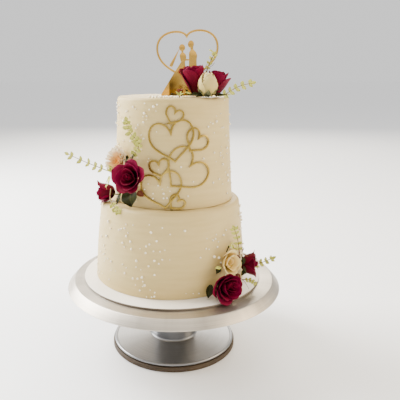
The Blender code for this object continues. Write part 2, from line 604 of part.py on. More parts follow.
def plate_profile():
    boss_foot = HUB_TOP + RUNNING_CLEARANCE
    bore = SPINDLE_RADIUS + RUNNING_CLEARANCE
    under = PLATE_TOP - PLATE_THICKNESS
    lip = 0.8 * MM
    return [(0, SPINDLE_TOP + RUNNING_CLEARANCE), (bore, SPINDLE_TOP + RUNNING_CLEARANCE), (bore, boss_foot),
            (PLATE_BOSS_RADIUS, boss_foot), (PLATE_BOSS_RADIUS, under),
            (PLATE_TOP_RADIUS - PLATE_SKIRT_WALL, under), (PLATE_RADIUS - PLATE_SKIRT_WALL, PLATE_SKIRT_FOOT),
            (PLATE_RADIUS - lip, PLATE_SKIRT_FOOT), (PLATE_RADIUS, PLATE_SKIRT_FOOT + lip),
            (PLATE_TOP_RADIUS + lip * 2, PLATE_TOP - lip), (PLATE_TOP_RADIUS, PLATE_TOP), (0, PLATE_TOP)]


def board_profile():
    chamfer = 0.3 * MM
    return [(0, BOARD_BOTTOM), (BOARD_RADIUS - chamfer, BOARD_BOTTOM), (BOARD_RADIUS, BOARD_BOTTOM + chamfer),
            (BOARD_RADIUS, BOARD_TOP - chamfer), (BOARD_RADIUS - chamfer, BOARD_TOP), (0, BOARD_TOP)]


def build():
    clear_scene()
    rubber = material("pad_rubber", (0.080, 0.052, 0.026), 0.75)
    metal = material("stand_aluminium", (0.62, 0.62, 0.60), 0.25, 1.0)
    card = material("board_white", (0.86, 0.85, 0.82), 0.45)
    icing = material("ivory_icing", (0.78, 0.70, 0.56), 0.55)
    gold = material("mirror_gold", (0.60, 0.42, 0.14), 0.25, 1.0)
    crimson = material("crimson_petals", (0.22, 0.004, 0.022), 0.6)
    cream = material("cream_petals", (0.80, 0.74, 0.56), 0.6)
    dark_green = material("dark_leaves", (0.05, 0.07, 0.018), 0.55)
    light_green = material("sprig_leaves", (0.42, 0.46, 0.12), 0.55)
    rust = material("reddish_leaf", (0.16, 0.03, 0.015), 0.6)

    add_object("non_slip_pad", turned("non_slip_pad", pad_profile(), 40), rubber)
    add_object("base_disc", turned("base_disc", base_profile(), 36), metal)

    spin_axis = bpy.data.objects.new("spin_axis", None)
    bpy.context.collection.objects.link(spin_axis)
    add_object("plate", turned("plate", plate_profile(), 48), metal, spin_axis)
    add_object("cake_board", turned("cake_board", board_profile(), 48, BOARD_CENTRE), card, spin_axis)

    hearts = add_object("gold_hearts", hearts_mesh(gold), gold, spin_axis)
    add_object("topper", topper_mesh(gold), gold, spin_axis)

    for seed, (name, flower) in enumerate(ROSES.items()):
        petals = cream if name == "rose_cream" else crimson
        add_object(name, whorled_mesh(name, ROSE_RINGS, flower, ROSE_SIDES, 5, 0.09, seed), petals, spin_axis)
    extras = [("white_bud", BUD_RINGS, WHITE_BUD, 14, 3, 0.05, cream),
              ("fluffy_flower", FLUFFY_RINGS, FLUFFY_FLOWER, 20, 10, 0.10, cream),
              ("red_bud", RED_BUD_RINGS, RED_BUD, 8, 4, 0.06, rust),
              ("calyx", CALYX_RINGS, CALYX, 10, 5, 0.20, rust)]
    for seed, (name, rings, flower, sides, lobes, depth, finish) in enumerate(extras):
        add_object(name, whorled_mesh(name, rings, flower, sides, lobes, depth, seed + 20), finish, spin_axis)

    for seed, (name, (base, tip, width)) in enumerate(LEAVES.items()):
        finish = rust if name == "leaf_left_red" else dark_green
        add_object(name, leaf_mesh(name, base, tip, width, seed), finish, spin_axis)
    for seed, (name, sprig) in enumerate(SPRIGS.items()):
        add_object(name, sprig_mesh(name, sprig, light_green, seed + 40), light_green, spin_axis)

    nearby = [made for made in spin_axis.children if made.name not in ("plate", "cake_board")]
    blocked = [vert.co.copy() for made in nearby for vert in made.data.vertices]
    hearts.data.shade_smooth()
    hearts.data.set_sharp_from_angle(angle=math.radians(40))
    for name, tier, clusters, count, seed in (("lower_tier", LOWER, LOWER_CLUSTERS, 38, 5),
                                              ("upper_tier", UPPER, UPPER_CLUSTERS, 28, 9)):
        mesh = pearled_tier(name, tier, clusters, count, seed, blocked, icing)
        add_object(name, mesh, icing, spin_axis)


build()
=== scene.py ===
import json
import math
import random

import bmesh
import bpy
from mathutils import Matrix, Vector, kdtree, noise

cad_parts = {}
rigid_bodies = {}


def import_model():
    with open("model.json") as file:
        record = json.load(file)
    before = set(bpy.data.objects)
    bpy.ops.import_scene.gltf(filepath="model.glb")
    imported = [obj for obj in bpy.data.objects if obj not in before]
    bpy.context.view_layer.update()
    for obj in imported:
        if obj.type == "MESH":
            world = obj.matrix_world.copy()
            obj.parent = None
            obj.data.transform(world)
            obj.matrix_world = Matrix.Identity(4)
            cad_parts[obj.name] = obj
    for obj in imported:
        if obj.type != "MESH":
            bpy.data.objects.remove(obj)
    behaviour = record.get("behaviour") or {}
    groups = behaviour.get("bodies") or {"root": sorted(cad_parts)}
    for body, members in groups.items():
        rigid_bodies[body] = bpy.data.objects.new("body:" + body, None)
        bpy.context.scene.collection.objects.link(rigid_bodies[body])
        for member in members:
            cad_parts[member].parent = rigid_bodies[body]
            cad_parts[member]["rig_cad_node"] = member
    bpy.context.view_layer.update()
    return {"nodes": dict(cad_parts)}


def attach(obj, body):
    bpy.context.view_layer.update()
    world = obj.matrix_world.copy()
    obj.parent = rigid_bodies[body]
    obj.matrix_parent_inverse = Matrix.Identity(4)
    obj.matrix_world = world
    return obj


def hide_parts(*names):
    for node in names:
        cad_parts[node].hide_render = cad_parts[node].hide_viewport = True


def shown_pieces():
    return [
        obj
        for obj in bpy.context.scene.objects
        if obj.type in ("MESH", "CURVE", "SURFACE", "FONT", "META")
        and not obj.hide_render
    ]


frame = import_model()
mm = 0.001
print("frame loaded")


# Shared helpers

def bezier(start, pullStart, pullEnd, end, steps):  # points along one cubic curve
    found = []
    for step in range(steps + 1):
        t = step / steps
        s = 1 - t
        found.append(start * s ** 3 + pullStart * 3 * s * s * t + pullEnd * 3 * s * t * t + end * t ** 3)
    return found


def smoothRoute(points, perSpan):  # a smooth line through the points, which are in millimetres
    points = [Vector(point) * mm for point in points]
    ends = [points[0] * 2 - points[1]] + points + [points[-1] * 2 - points[-2]]
    found = []
    for before, start, end, after in zip(ends, ends[1:], ends[2:], ends[3:]):
        found += bezier(start, start + (end - before) / 6, end - (after - start) / 6, end, perSpan)[:-1]
    return found + [points[-1]]


def direction(faces):  # unit vector from an angle round the front and an angle up, in degrees
    around, up = (math.radians(angle) for angle in faces)
    return Vector((math.sin(around) * math.cos(up), -math.cos(around) * math.cos(up), math.sin(up)))


def placeOn(base, faces):  # stands a shape's +Z along the heading at the base point, in millimetres
    turn = direction(faces).to_track_quat("Z", "Y").to_matrix().to_4x4()
    return Matrix.Translation(Vector(base) * mm) @ turn


def frameOf(along, facing):  # matrix whose X runs along, and whose Z faces as far as it can
    along = along.normalized()
    across = facing.cross(along).normalized()
    return Matrix((along, across, along.cross(across))).transposed().to_4x4()


def fade(low, high, value):  # 0 below low, 1 above high, smooth between
    share = min(max((value - low) / (high - low), 0.0), 1.0)
    return share * share * (3 - 2 * share)


weldDistance = 0.004          # points of a spun shape closer than this are merged, in millimetres


def lathe(profile, steps, centre=Vector()):  # spins (radius, height) points in millimetres
    bm = bmesh.new()
    points = [bm.verts.new((radius * mm, 0, height * mm)) for radius, height in profile]
    edges = [bm.edges.new(pair) for pair in zip(points, points[1:])]
    bmesh.ops.spin(bm, geom=points + edges, cent=(0, 0, 0), axis=(0, 0, 1), angle=math.tau,
                   steps=steps, use_merge=True)
    bmesh.ops.remove_doubles(bm, verts=bm.verts, dist=weldDistance * mm)
    bmesh.ops.recalc_face_normals(bm, faces=bm.faces)
    bmesh.ops.translate(bm, verts=bm.verts, vec=centre * mm)
    return bm


def arc(centre, radius, startAngle, endAngle, steps):  # points of a round stretch of a profile
    turns = [math.radians(startAngle + (endAngle - startAngle) * step / steps) for step in range(steps + 1)]
    return [(centre[0] + radius * math.cos(turn), centre[1] + radius * math.sin(turn)) for turn in turns]


metalAngle = 30               # edges sharper than this stay sharp on metal, in degrees
sheetAngle = 80               # and on petals and leaves, which are smooth nearly everywhere


def addPiece(name, bm, materials, body, replaced=(), sharpAngle=40):
    mesh = bpy.data.meshes.new(name)
    bm.to_mesh(mesh)
    bm.free()
    for material in materials:
        mesh.materials.append(material)
    mesh.shade_smooth()
    mesh.set_sharp_from_angle(angle=math.radians(sharpAngle))
    made = bpy.data.objects.new(name, mesh)
    bpy.context.scene.collection.objects.link(made)
    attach(made, body)
    if replaced:
        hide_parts(*replaced)
    return made


def thicken(piece, thickness):  # gives a sheet its thickness and rounds it
    wall = piece.modifiers.new("wall", "SOLIDIFY")
    wall.thickness = thickness * mm
    wall.offset = 0.0
    rounding = piece.modifiers.new("rounding", "SUBSURF")
    rounding.levels = 1
    rounding.render_levels = 1


# Shared material nodes

usual = (0.3, 0.7)            # most of a noise's values lie between these two


class Finish:  # one material with a Principled shader, and short ways to add nodes to it
    def __init__(self, name, roughness=0.5, metallic=0.0):
        self.material = bpy.data.materials.new(name)
        self.material.use_nodes = True
        self.nodes = self.material.node_tree.nodes
        self.links = self.material.node_tree.links
        self.shader = self.nodes["Principled BSDF"]
        self.shader.inputs["Roughness"].default_value = roughness
        self.shader.inputs["Metallic"].default_value = metallic
        self.place = self.nodes.new("ShaderNodeTexCoord")

    def constant(self, **values):  # socket names with their spaces left out
        for socket in self.shader.inputs:
            if socket.name.replace(" ", "") in values:
                socket.default_value = values[socket.name.replace(" ", "")]

    def mapped(self, scale, source="Object"):
        node = self.nodes.new("ShaderNodeMapping")
        node.inputs["Scale"].default_value = scale
        self.links.new(self.place.outputs[source], node.inputs["Vector"])
        return node.outputs["Vector"]

    def noiseOf(self, vector, scale, detail=3.0, roughness=0.5):
        node = self.nodes.new("ShaderNodeTexNoise")
        node.inputs["Scale"].default_value = scale
        node.inputs["Detail"].default_value = detail
        node.inputs["Roughness"].default_value = roughness
        self.links.new(vector, node.inputs["Vector"])
        return node.outputs["Fac"]

    def grainOf(self, scale, detail=3.0):  # noise on the object's own coordinates
        return self.noiseOf(self.place.outputs["Object"], scale, detail)

    def math(self, operation, first, second=0.0, third=0.0):
        node = self.nodes.new("ShaderNodeMath")
        node.operation = operation
        for socket, value in zip(node.inputs, (first, second, third)):
            if isinstance(value, (int, float)):
                socket.default_value = value
            else:
                self.links.new(value, socket)
        return node.outputs["Value"]

    def ranged(self, value, low, high, newLow, newHigh):
        node = self.nodes.new("ShaderNodeMapRange")
        for socket, number in zip(node.inputs[1:5], (low, high, newLow, newHigh)):
            socket.default_value = number
        self.links.new(value, node.inputs[0])
        return node.outputs["Result"]

    def ramp(self, value, stops):  # stops: (place, colour)
        node = self.nodes.new("ShaderNodeValToRGB")
        band = node.color_ramp
        while len(band.elements) < len(stops):
            band.elements.new(0.5)
        for element, (spot, colour) in zip(band.elements, stops):
            element.position = spot
            element.color = (*colour, 1.0)
        self.links.new(value, node.inputs["Fac"])
        return node.outputs["Color"]

    def shades(self, pattern, dark, light):  # a noise coloured from dark to light
        return self.ramp(pattern, [(usual[0], dark), (usual[1], light)])

    def mix(self, share, first, second):
        node = self.nodes.new("ShaderNodeMix")
        node.data_type = "RGBA"
        for index, value in ((0, share), (6, first), (7, second)):
            if isinstance(value, (int, float)):
                node.inputs[index].default_value = value
            elif isinstance(value, tuple):
                node.inputs[index].default_value = (*value, 1.0)
            else:
                self.links.new(value, node.inputs[index])
        return node.outputs[2]

    def split(self, vector):
        node = self.nodes.new("ShaderNodeSeparateXYZ")
        self.links.new(vector, node.inputs[0])
        return node.outputs

    def joined(self, first, second):
        node = self.nodes.new("ShaderNodeCombineXYZ")
        self.links.new(first, node.inputs[0])
        self.links.new(second, node.inputs[1])
        return node.outputs[0]

    def colour(self, value):
        self.links.new(value, self.shader.inputs["Base Color"])

    def rough(self, pattern, low, high, span=usual):  # roughness that follows a noise
        self.links.new(self.ranged(pattern, *span, low, high), self.shader.inputs["Roughness"])

    def bump(self, *layers):  # layers: (height value, strength, distance in millimetres)
        last = None
        for height, strength, distance in layers:
            node = self.nodes.new("ShaderNodeBump")
            node.inputs["Strength"].default_value = strength
            node.inputs["Distance"].default_value = distance * mm
            self.links.new(height, node.inputs["Height"])
            if last is not None:
                self.links.new(last, node.inputs["Normal"])
            last = node.outputs["Normal"]
        self.links.new(last, self.shader.inputs["Normal"])


# Materials, whose scales count per metre

paintedDressReflection = {                 # painted reflection: a darker upright band low on the topper's sheet, fading out to its right
    "left": -0.0070, "darkFrom": -0.0055, "darkTo": -0.0020, "right": 0.0140, "low": 0.378, "high": 0.394,
    "strength": 0.85, "colour": (0.030, 0.010, 0.002),
}
icingLook = {                 # stretch: how much longer than tall the scraper's level strokes are
    "stretch": 9.0, "strokes": 22.0, "clouds": 18.0, "pores": 900.0, "strokeShare": 0.6,
    "dark": (0.515, 0.382, 0.145), "light": (0.595, 0.460, 0.200), "rough": (0.44, 0.58),
}
goldLook = {"clouds": 45.0, "scuffs": 350.0, "stretch": 6.0}
petalLook = {                 # stops: where along the petal its three colours stand
    "veins": (26.0, 2.2, 1.0), "clouds": 140.0, "mottled": 0.14, "stops": (0.20, 0.72, 1.0),
    "rough": (0.45, 0.65),
}
leafLook = {                  # turns and slant: how many side veins there are, and how steeply they rise
    "turns": 60.0, "slant": -55.0, "sideVein": (0.80, 1.0, 0.0, 0.5), "ribWidth": 0.07, "drawn": 0.55,
    "clouds": 160.0, "light": 0.72, "rough": (-0.08, 0.1),
}
metalLook = {                 # slope: makes the grooves count on faces of any slope; the streak keys and shade set painted reflection streaks
    "slope": 1.7, "grooves": 900.0, "around": 0.7, "lines": 1.6, "lineRough": 0.7, "clouds": 14.0,
    "streaks": 5.0, "streakSpan": (0.40, 0.66), "shade": 0.45, "span": (0.35, 0.65),
}
boardLook = {"fibres": 420.0, "clouds": 20.0, "rough": (0.34, 0.46)}
stemClouds = 220.0
pearlLook = {"grain": 300.0, "dark": (0.80, 0.70, 0.48), "light": (0.88, 0.82, 0.64)}
rubberLook = {"grain": 700.0, "clouds": 30.0, "dark": (0.036, 0.021, 0.009), "light": (0.062, 0.038, 0.017),
              "rough": (0.62, 0.82)}


def makeIcing():
    look, c = Finish("ivoryButtercream", roughness=0.5), icingLook
    look.constant(SubsurfaceWeight=0.12, SubsurfaceRadius=(0.006, 0.004, 0.002), SubsurfaceScale=0.6,
                  SpecularIORLevel=0.35)
    strokes = look.noiseOf(look.mapped((1.0, 1.0, c["stretch"])), c["strokes"], 4.0)
    cloud = look.grainOf(c["clouds"], 2.0)
    pores = look.grainOf(c["pores"])
    tone = look.math("MULTIPLY_ADD", strokes, c["strokeShare"],
                     look.math("MULTIPLY", cloud, 1 - c["strokeShare"]))
    look.colour(look.shades(tone, c["dark"], c["light"]))
    look.rough(strokes, *c["rough"])
    look.bump((strokes, 0.35, 0.35), (pores, 0.25, 0.06))
    return look.material


def makePearl():
    look, c = Finish("sugarPearl", roughness=0.22), pearlLook
    look.constant(CoatWeight=0.5, CoatRoughness=0.12, SubsurfaceWeight=0.1,
                  SubsurfaceRadius=(0.002, 0.0015, 0.001), SubsurfaceScale=0.5)
    grain = look.grainOf(c["grain"], 2.0)
    look.colour(look.shades(grain, c["dark"], c["light"]))
    look.bump((grain, 0.15, 0.05))
    return look.material


def makeGold(name, dark, light, rough, band=None):
    look = Finish(name, roughness=0.22, metallic=1.0)
    cloud = look.grainOf(goldLook["clouds"])
    scuffs = look.noiseOf(look.mapped((1.0, 1.0, goldLook["stretch"])), goldLook["scuffs"])
    tone = look.shades(cloud, dark, light)
    # painted reflection: the band darkens the gold in an upright streak low on the sheet
    if band:
        parts = look.split(look.place.outputs["Object"])
        rising = look.ranged(parts[0], band["left"], band["darkFrom"], 0.0, 1.0)
        falling = look.ranged(parts[0], band["darkTo"], band["right"], 1.0, 0.0)
        below = look.ranged(parts[2], band["low"], band["high"], 1.0, 0.0)
        share = look.math("MULTIPLY", look.math("MINIMUM", rising, falling), below)
        tone = look.mix(look.math("MULTIPLY", share, band["strength"]), tone, band["colour"])
    look.colour(tone)
    look.rough(scuffs, *rough)
    look.bump((cloud, 0.10, 0.25), (scuffs, 0.06, 0.02))
    return look.material


def makePetal(name, deep, middle, lip, sheen=0.05, sheenTint=(1.0, 1.0, 1.0), alongShare=0.62,
              toneShare=0.30):  # shares: how far the place along a petal and its own tone set the colour
    look, c = Finish(name, roughness=0.55), petalLook
    look.constant(SheenWeight=sheen, SheenRoughness=0.4, SheenTint=(*sheenTint, 1.0), SpecularIORLevel=0.07,
                  SubsurfaceWeight=0.06, SubsurfaceRadius=(0.003, 0.001, 0.001), SubsurfaceScale=0.4)
    onPetal = look.split(look.place.outputs["UV"])
    ownTone = look.nodes.new("ShaderNodeAttribute")
    ownTone.attribute_name = "tone"
    veins = look.noiseOf(look.mapped(c["veins"], "UV"), 1.0)
    cloud = look.grainOf(c["clouds"])
    tone = look.math("MULTIPLY_ADD", onPetal[1], alongShare,
                     look.math("MULTIPLY", ownTone.outputs["Fac"], toneShare))
    tone = look.math("MULTIPLY_ADD", cloud, c["mottled"], tone)
    tone = look.math("MULTIPLY_ADD", veins, c["mottled"], tone)
    look.colour(look.ramp(tone, list(zip(c["stops"], (deep, middle, lip)))))
    look.rough(cloud, *c["rough"])
    look.bump((veins, 0.22, 0.2), (cloud, 0.15, 0.12))
    return look.material


def makeLeaf(name, dark, light, vein, roughness):
    look, c = Finish(name, roughness=roughness), leafLook
    look.constant(SubsurfaceWeight=0.05, SubsurfaceRadius=(0.001, 0.002, 0.0005), SubsurfaceScale=0.4,
                  SpecularIORLevel=0.09)
    onLeaf = look.split(look.place.outputs["UV"])
    fromRib = look.math("ABSOLUTE", look.math("SUBTRACT", onLeaf[0], 0.5))
    slant = look.math("MULTIPLY_ADD", onLeaf[1], c["turns"], look.math("MULTIPLY", fromRib, c["slant"]))
    rib = look.ranged(fromRib, 0.0, c["ribWidth"], 1.0, 0.0)
    drawn = look.math("MAXIMUM", rib, look.ranged(look.math("SINE", slant), *c["sideVein"]))
    cloud = look.grainOf(c["clouds"])
    look.colour(look.mix(look.math("MULTIPLY", drawn, c["drawn"]),
                         look.ramp(cloud, [(usual[0], dark), (c["light"], light)]), vein))
    look.rough(cloud, *(roughness + change for change in c["rough"]))
    look.bump((drawn, 0.4, -0.2), (cloud, 0.2, 0.1))
    return look.material


def makeStem(name, dark, light):
    look = Finish(name, roughness=0.5)
    cloud = look.grainOf(stemClouds, 2.0)
    look.colour(look.shades(cloud, dark, light))
    look.bump((cloud, 0.3, 0.1))
    return look.material


def makeAluminium(name, dark, light, rough, grooves, streaks):
    look, c = Finish(name, roughness=0.25, metallic=1.0), metalLook
    x, y, z = look.split(look.place.outputs["Object"])
    radius = look.math("SQRT", look.math("MULTIPLY_ADD", x, x, look.math("MULTIPLY", y, y)))
    across = look.math("ADD", radius, look.math("MULTIPLY", z, c["slope"]))
    across = look.math("MULTIPLY", across, c["grooves"])
    around = look.math("MULTIPLY", look.math("ARCTAN2", y, x), c["around"])
    lines = look.noiseOf(look.joined(across, around), c["lines"], 3.0, c["lineRough"])
    cloud = look.grainOf(c["clouds"], 2.0)
    sector = look.joined(look.math("DIVIDE", x, radius), look.math("DIVIDE", y, radius))
    reflectionStreak = look.noiseOf(sector, c["streaks"])              # painted reflection: soft darker streaks round the stand
    shade = tuple(part * c["shade"] for part in dark)
    look.colour(look.mix(look.ranged(reflectionStreak, *c["streakSpan"], 0.0, streaks),
                         look.shades(lines, dark, light), shade))
    both = look.math("MULTIPLY_ADD", cloud, 0.5, look.math("MULTIPLY", lines, 0.5))
    look.rough(both, *rough, span=c["span"])
    look.bump((lines, grooves, 0.03))
    return look.material


def makeRubber():
    look, c = Finish("brownRubber", roughness=0.7), rubberLook
    grain = look.grainOf(c["grain"])
    cloud = look.grainOf(c["clouds"], 2.0)
    look.colour(look.shades(cloud, c["dark"], c["light"]))
    look.rough(grain, *c["rough"])
    look.bump((grain, 0.4, 0.1))
    return look.material


def makeBoard(name, dark, light):
    look, c = Finish(name, roughness=0.4), boardLook
    fibres = look.grainOf(c["fibres"])
    cloud = look.grainOf(c["clouds"], 2.0)
    look.colour(look.shades(cloud, dark, light))
    look.rough(fibres, *c["rough"])
    look.bump((fibres, 0.15, 0.05))
    return look.material


icing = makeIcing()
pearlFinish = makePearl()
heartGold = makeGold("heartGold", dark=(0.27, 0.18, 0.035), light=(0.43, 0.30, 0.07), rough=(0.22, 0.38))
topperGold = makeGold("topperGold", dark=(0.55, 0.305, 0.055), light=(0.67, 0.405, 0.090),
                      rough=(0.12, 0.26), band=paintedDressReflection)
crimson = makePetal("crimsonPetal", deep=(0.022, 0.0004, 0.003), middle=(0.125, 0.0009, 0.015),
                    lip=(0.155, 0.0012, 0.027), sheen=0.03, sheenTint=(0.9, 0.10, 0.40))
cream = makePetal("creamPetal", deep=(0.50, 0.33, 0.06), middle=(0.74, 0.55, 0.20), lip=(0.80, 0.67, 0.36))
white = makePetal("whitePetal", deep=(0.44, 0.33, 0.09), middle=(0.56, 0.44, 0.17), lip=(0.68, 0.56, 0.32))
fluffy = makePetal("fluffyPetal", deep=(0.58, 0.27, 0.05), middle=(0.76, 0.50, 0.22),
                   lip=(0.84, 0.74, 0.54), alongShare=0.12, toneShare=0.80)
darkLeaf = makeLeaf("darkLeaf", dark=(0.009, 0.010, 0.003), light=(0.030, 0.032, 0.007),
                    vein=(0.075, 0.070, 0.020), roughness=0.6)
greyLeaf = makeLeaf("greyLeaf", dark=(0.085, 0.085, 0.035), light=(0.16, 0.155, 0.070),
                    vein=(0.24, 0.22, 0.12), roughness=0.55)
rustLeaf = makeLeaf("rustLeaf", dark=(0.085, 0.022, 0.012), light=(0.17, 0.045, 0.020),
                    vein=(0.22, 0.11, 0.05), roughness=0.55)
paleLeaf = makeLeaf("paleLeaf", dark=(0.40, 0.40, 0.060), light=(0.62, 0.60, 0.150),
                    vein=(0.70, 0.66, 0.27), roughness=0.5)
stemFinish = makeStem("sprigStem", dark=(0.17, 0.12, 0.030), light=(0.30, 0.23, 0.060))
twigFinish = makeStem("darkTwig", dark=(0.10, 0.045, 0.022), light=(0.20, 0.10, 0.045))
plateMetal = makeAluminium("spunAluminium", dark=(0.43, 0.38, 0.315), light=(0.57, 0.515, 0.435),
                           rough=(0.34, 0.48), grooves=0.14, streaks=0.30)
# painted shade: the base is the plate's aluminium made much darker, standing in for the shade it sits in
# under the plate
shadedBaseMetal = makeAluminium("shadedBaseAluminium", dark=(0.215, 0.215, 0.22), light=(0.29, 0.29, 0.295),
                          rough=(0.28, 0.40), grooves=0.10, streaks=0.08)
rubber = makeRubber()
boardTop = makeBoard("boardTop", dark=(0.80, 0.735, 0.62), light=(0.86, 0.80, 0.70))
# the board's side: its brown card edge, darkened further as painted shadow of the gap between board and plate
boardSideAndGapShadow = makeBoard("boardSideAndGapShadow", dark=(0.13, 0.10, 0.07), light=(0.20, 0.16, 0.12))
print("materials made")


# Stand

stand = {
    "steps": 220,
    "padRadius": 89.4, "padHeight": 6.4, "padRound": 1.5,
    "baseRadius": 87.6, "baseFoot": 6.7, "rimWidth": 4.6, "rimTop": 10.9, "hubFoot": 12.6,
    "hubRadius": 32.6, "hubFlare": 3.0, "hubTop": 95.0, "spindleRadius": 9.0, "spindleTop": 98.8,
    "plateRadius": 152.4, "plateTopRadius": 141.8, "plateTop": 103.4, "skirtFoot": 91.8,
    "plateThickness": 3.0, "skirtWall": 3.4, "bossRadius": 36.0, "running": 0.5, "lip": 0.8, "topRing": 70,
    "padFoot": 0.6, "padSteps": 6, "rimTurn": (-60, 150), "rimSteps": 14, "rimSquash": 0.9,
    "flareSteps": 8, "hubEdge": 1, "dishGap": 1, "dishDrop": 1.2,
}


def padProfile(s):
    edge = arc((s["padRadius"] - s["padRound"], s["padHeight"] - s["padRound"]), s["padRound"], 0, 90,
               s["padSteps"])
    foot = [(0, 0), (s["padRadius"] - s["padFoot"], 0), (s["padRadius"], s["padFoot"])]
    return foot + edge + [(0, s["padHeight"])]


def baseProfile(s):
    rim = s["rimWidth"] / 2
    middle = s["baseFoot"] + rim * s["rimSquash"]
    inner = s["baseRadius"] - s["rimWidth"]
    roll = [(x, middle + (z - middle) * s["rimSquash"])
            for x, z in arc((s["baseRadius"] - rim, middle), rim, *s["rimTurn"], s["rimSteps"])]
    flare = [(s["hubRadius"] + s["hubFlare"] * (1 - math.sin(turn)),
              s["hubFoot"] + s["hubFlare"] * (1 - math.cos(turn)))
             for turn in (math.radians(90 * step / s["flareSteps"]) for step in range(s["flareSteps"] + 1))]
    dish = [(inner - s["dishGap"], s["rimTop"] - s["dishDrop"])]
    neck = [(s["hubRadius"], s["hubTop"] - s["hubEdge"]), (s["hubRadius"] - s["hubEdge"], s["hubTop"])]
    spindle = [(s["spindleRadius"], s["hubTop"]), (s["spindleRadius"], s["spindleTop"]), (0, s["spindleTop"])]
    return [(0, s["baseFoot"]), (inner, s["baseFoot"])] + roll + dish + flare + neck + spindle


def plateProfile(s):
    bossFoot = s["hubTop"] + s["running"]
    bore = s["spindleRadius"] + s["running"]
    ceiling = s["spindleTop"] + s["running"]
    under = s["plateTop"] - s["plateThickness"]
    lip = s["lip"]
    topEdge = [(s["plateTopRadius"] + lip * 2, s["plateTop"] - lip),
               (s["plateTopRadius"] + lip * 0.9, s["plateTop"] - lip * 0.25),
               (s["plateTopRadius"], s["plateTop"])]
    top = [(s["topRing"], s["plateTop"]), (0, s["plateTop"])]
    return [(0, ceiling), (bore, ceiling), (bore, bossFoot), (s["bossRadius"], bossFoot),
            (s["bossRadius"], under), (s["plateTopRadius"] - s["skirtWall"], under),
            (s["plateRadius"] - s["skirtWall"], s["skirtFoot"]), (s["plateRadius"] - lip, s["skirtFoot"]),
            (s["plateRadius"] - lip * 0.3, s["skirtFoot"] + lip * 0.3),
            (s["plateRadius"], s["skirtFoot"] + lip)] + topEdge + top


def buildStand():
    steps = stand["steps"]
    addPiece("pad", lathe(padProfile(stand), steps), [rubber], "base", ["non_slip_pad"])
    addPiece("base", lathe(baseProfile(stand), steps), [shadedBaseMetal], "base", ["base_disc"],
             sharpAngle=metalAngle)
    addPiece("turnplate", lathe(plateProfile(stand), steps), [plateMetal], "turntable",
             ["plate"], sharpAngle=metalAngle)


board = {"radius": 127.0, "centre": (-2.4, 3.8, 0), "bottom": 103.7, "top": 106.7, "chamfer": 0.35,
         "ring": 60, "steps": 220}


def buildBoard():
    b = board
    profile = [(0, b["bottom"]), (b["radius"] - b["chamfer"], b["bottom"]),
               (b["radius"], b["bottom"] + b["chamfer"]), (b["radius"], b["top"] - b["chamfer"]),
               (b["radius"] - b["chamfer"], b["top"]), (b["ring"], b["top"]), (0, b["top"])]
    bm = lathe(profile, b["steps"], Vector(b["centre"]))
    for face in bm.faces:
        if face.calc_center_median().z < (b["top"] - b["chamfer"]) * mm:
            face.material_index = 1
    addPiece("cakeBoard", bm, [boardTop, boardSideAndGapShadow], "turntable", ["cake_board"])


buildStand()
buildBoard()
print("stand and board made")


# The tiers' shapes, and gold hearts round the front of the upper one

tiers = {
    "lower": {"centre": (-5.0, 8.4), "foot": 107.0, "top": 218.8, "radius": 107.5, "taper": 9.0,
              "power": 1.5, "edge": 6.5},
    "upper": {"centre": (-0.8, 9.2), "foot": 219.1, "top": 362.0, "radius": 84.8, "taper": 7.0,
              "power": 0.8, "edge": 4.5},
}


def tierRadius(tier, height):
    share = (height - tier["foot"]) / (tier["top"] - tier["foot"])
    return tier["radius"] - tier["taper"] * min(max(share, 0.0), 1.0) ** tier["power"]


def tierPoint(tier, around, height, standoff=0.0):  # in millimetres
    radius = tierRadius(tier, height) + standoff
    x, y = tier["centre"]
    return Vector((x + radius * math.sin(around), y - radius * math.cos(around), height))


hearts = {                    # thinner: how much thinner each heart is than the last, so that no faces meet
    "stroke": 2.45, "thickness": 1.4, "standoff": 0.8, "rise": 0.37, "widest": 0.0, "sizeRadius": 81.0,
    "thinner": 0.01,
    "flank": ((0.5, 0.295), (0.18, 0.2)), "edge": 0.3, "steps": 16,
    "placed": [
        {"tip": (-3.8, 330.4), "width": 23.0, "lean": 26.0, "height": 0.60},
        {"tip": (2.7, 281.6), "width": 58.5, "lean": -9.0, "height": 0.59},
        {"tip": (21.6, 295.2), "width": 32.5, "lean": 38.0, "height": 0.58},
        {"tip": (-2.6, 249.8), "width": 58.5, "lean": 43.5, "height": 0.59},
        {"tip": (-15.0, 262.0), "width": 25.5, "lean": -12.0, "height": 0.58},
        {"tip": (-9.2, 221.6), "width": 53.0, "lean": -13.0, "height": 0.58},
        {"tip": (-2.4, 221.6), "width": 20.0, "lean": 43.0, "height": 0.60},
    ],
}


notchWidth = 0.04             # how far the notch's sides lean apart, as a share of a heart's width
corners = {"leastCosine": 0.3, "mostReach": 1.8, "sharpFrom": 60}   # of a ribbon


def heartLine(heart, rise, widest, steps, flank):  # closed flat line from the notch right round to it
    notch = heart["height"]
    lobe = [Vector((0, notch)), Vector((notchWidth, notch + rise)), Vector((0.5, notch + rise)),
            Vector((0.5, notch + widest))]
    side = [lobe[3], Vector(flank[0]), Vector(flank[1]), Vector((0, 0))]
    half = bezier(*lobe, steps) + bezier(*side, steps)[1:]
    whole = half + [Vector((-p.x, p.y)) for p in reversed(half[1:-1])]
    turn = Matrix.Rotation(math.radians(-heart["lean"]), 2)
    return [turn @ p * heart["width"] + Vector(heart["tip"]) for p in whole]


def roundRims(bm, edge, sharpFrom, shortest=0.0, clamp=False):  # bevels the sharp edges
    rims = [rim for rim in bm.edges if rim.calc_face_angle(0) > math.radians(sharpFrom)
            and rim.calc_length() >= shortest * mm]
    bmesh.ops.bevel(bm, geom=rims, offset=edge * mm, offset_type="OFFSET", affect="EDGES", segments=2,
                    profile=0.5, material=-1, clamp_overlap=clamp)


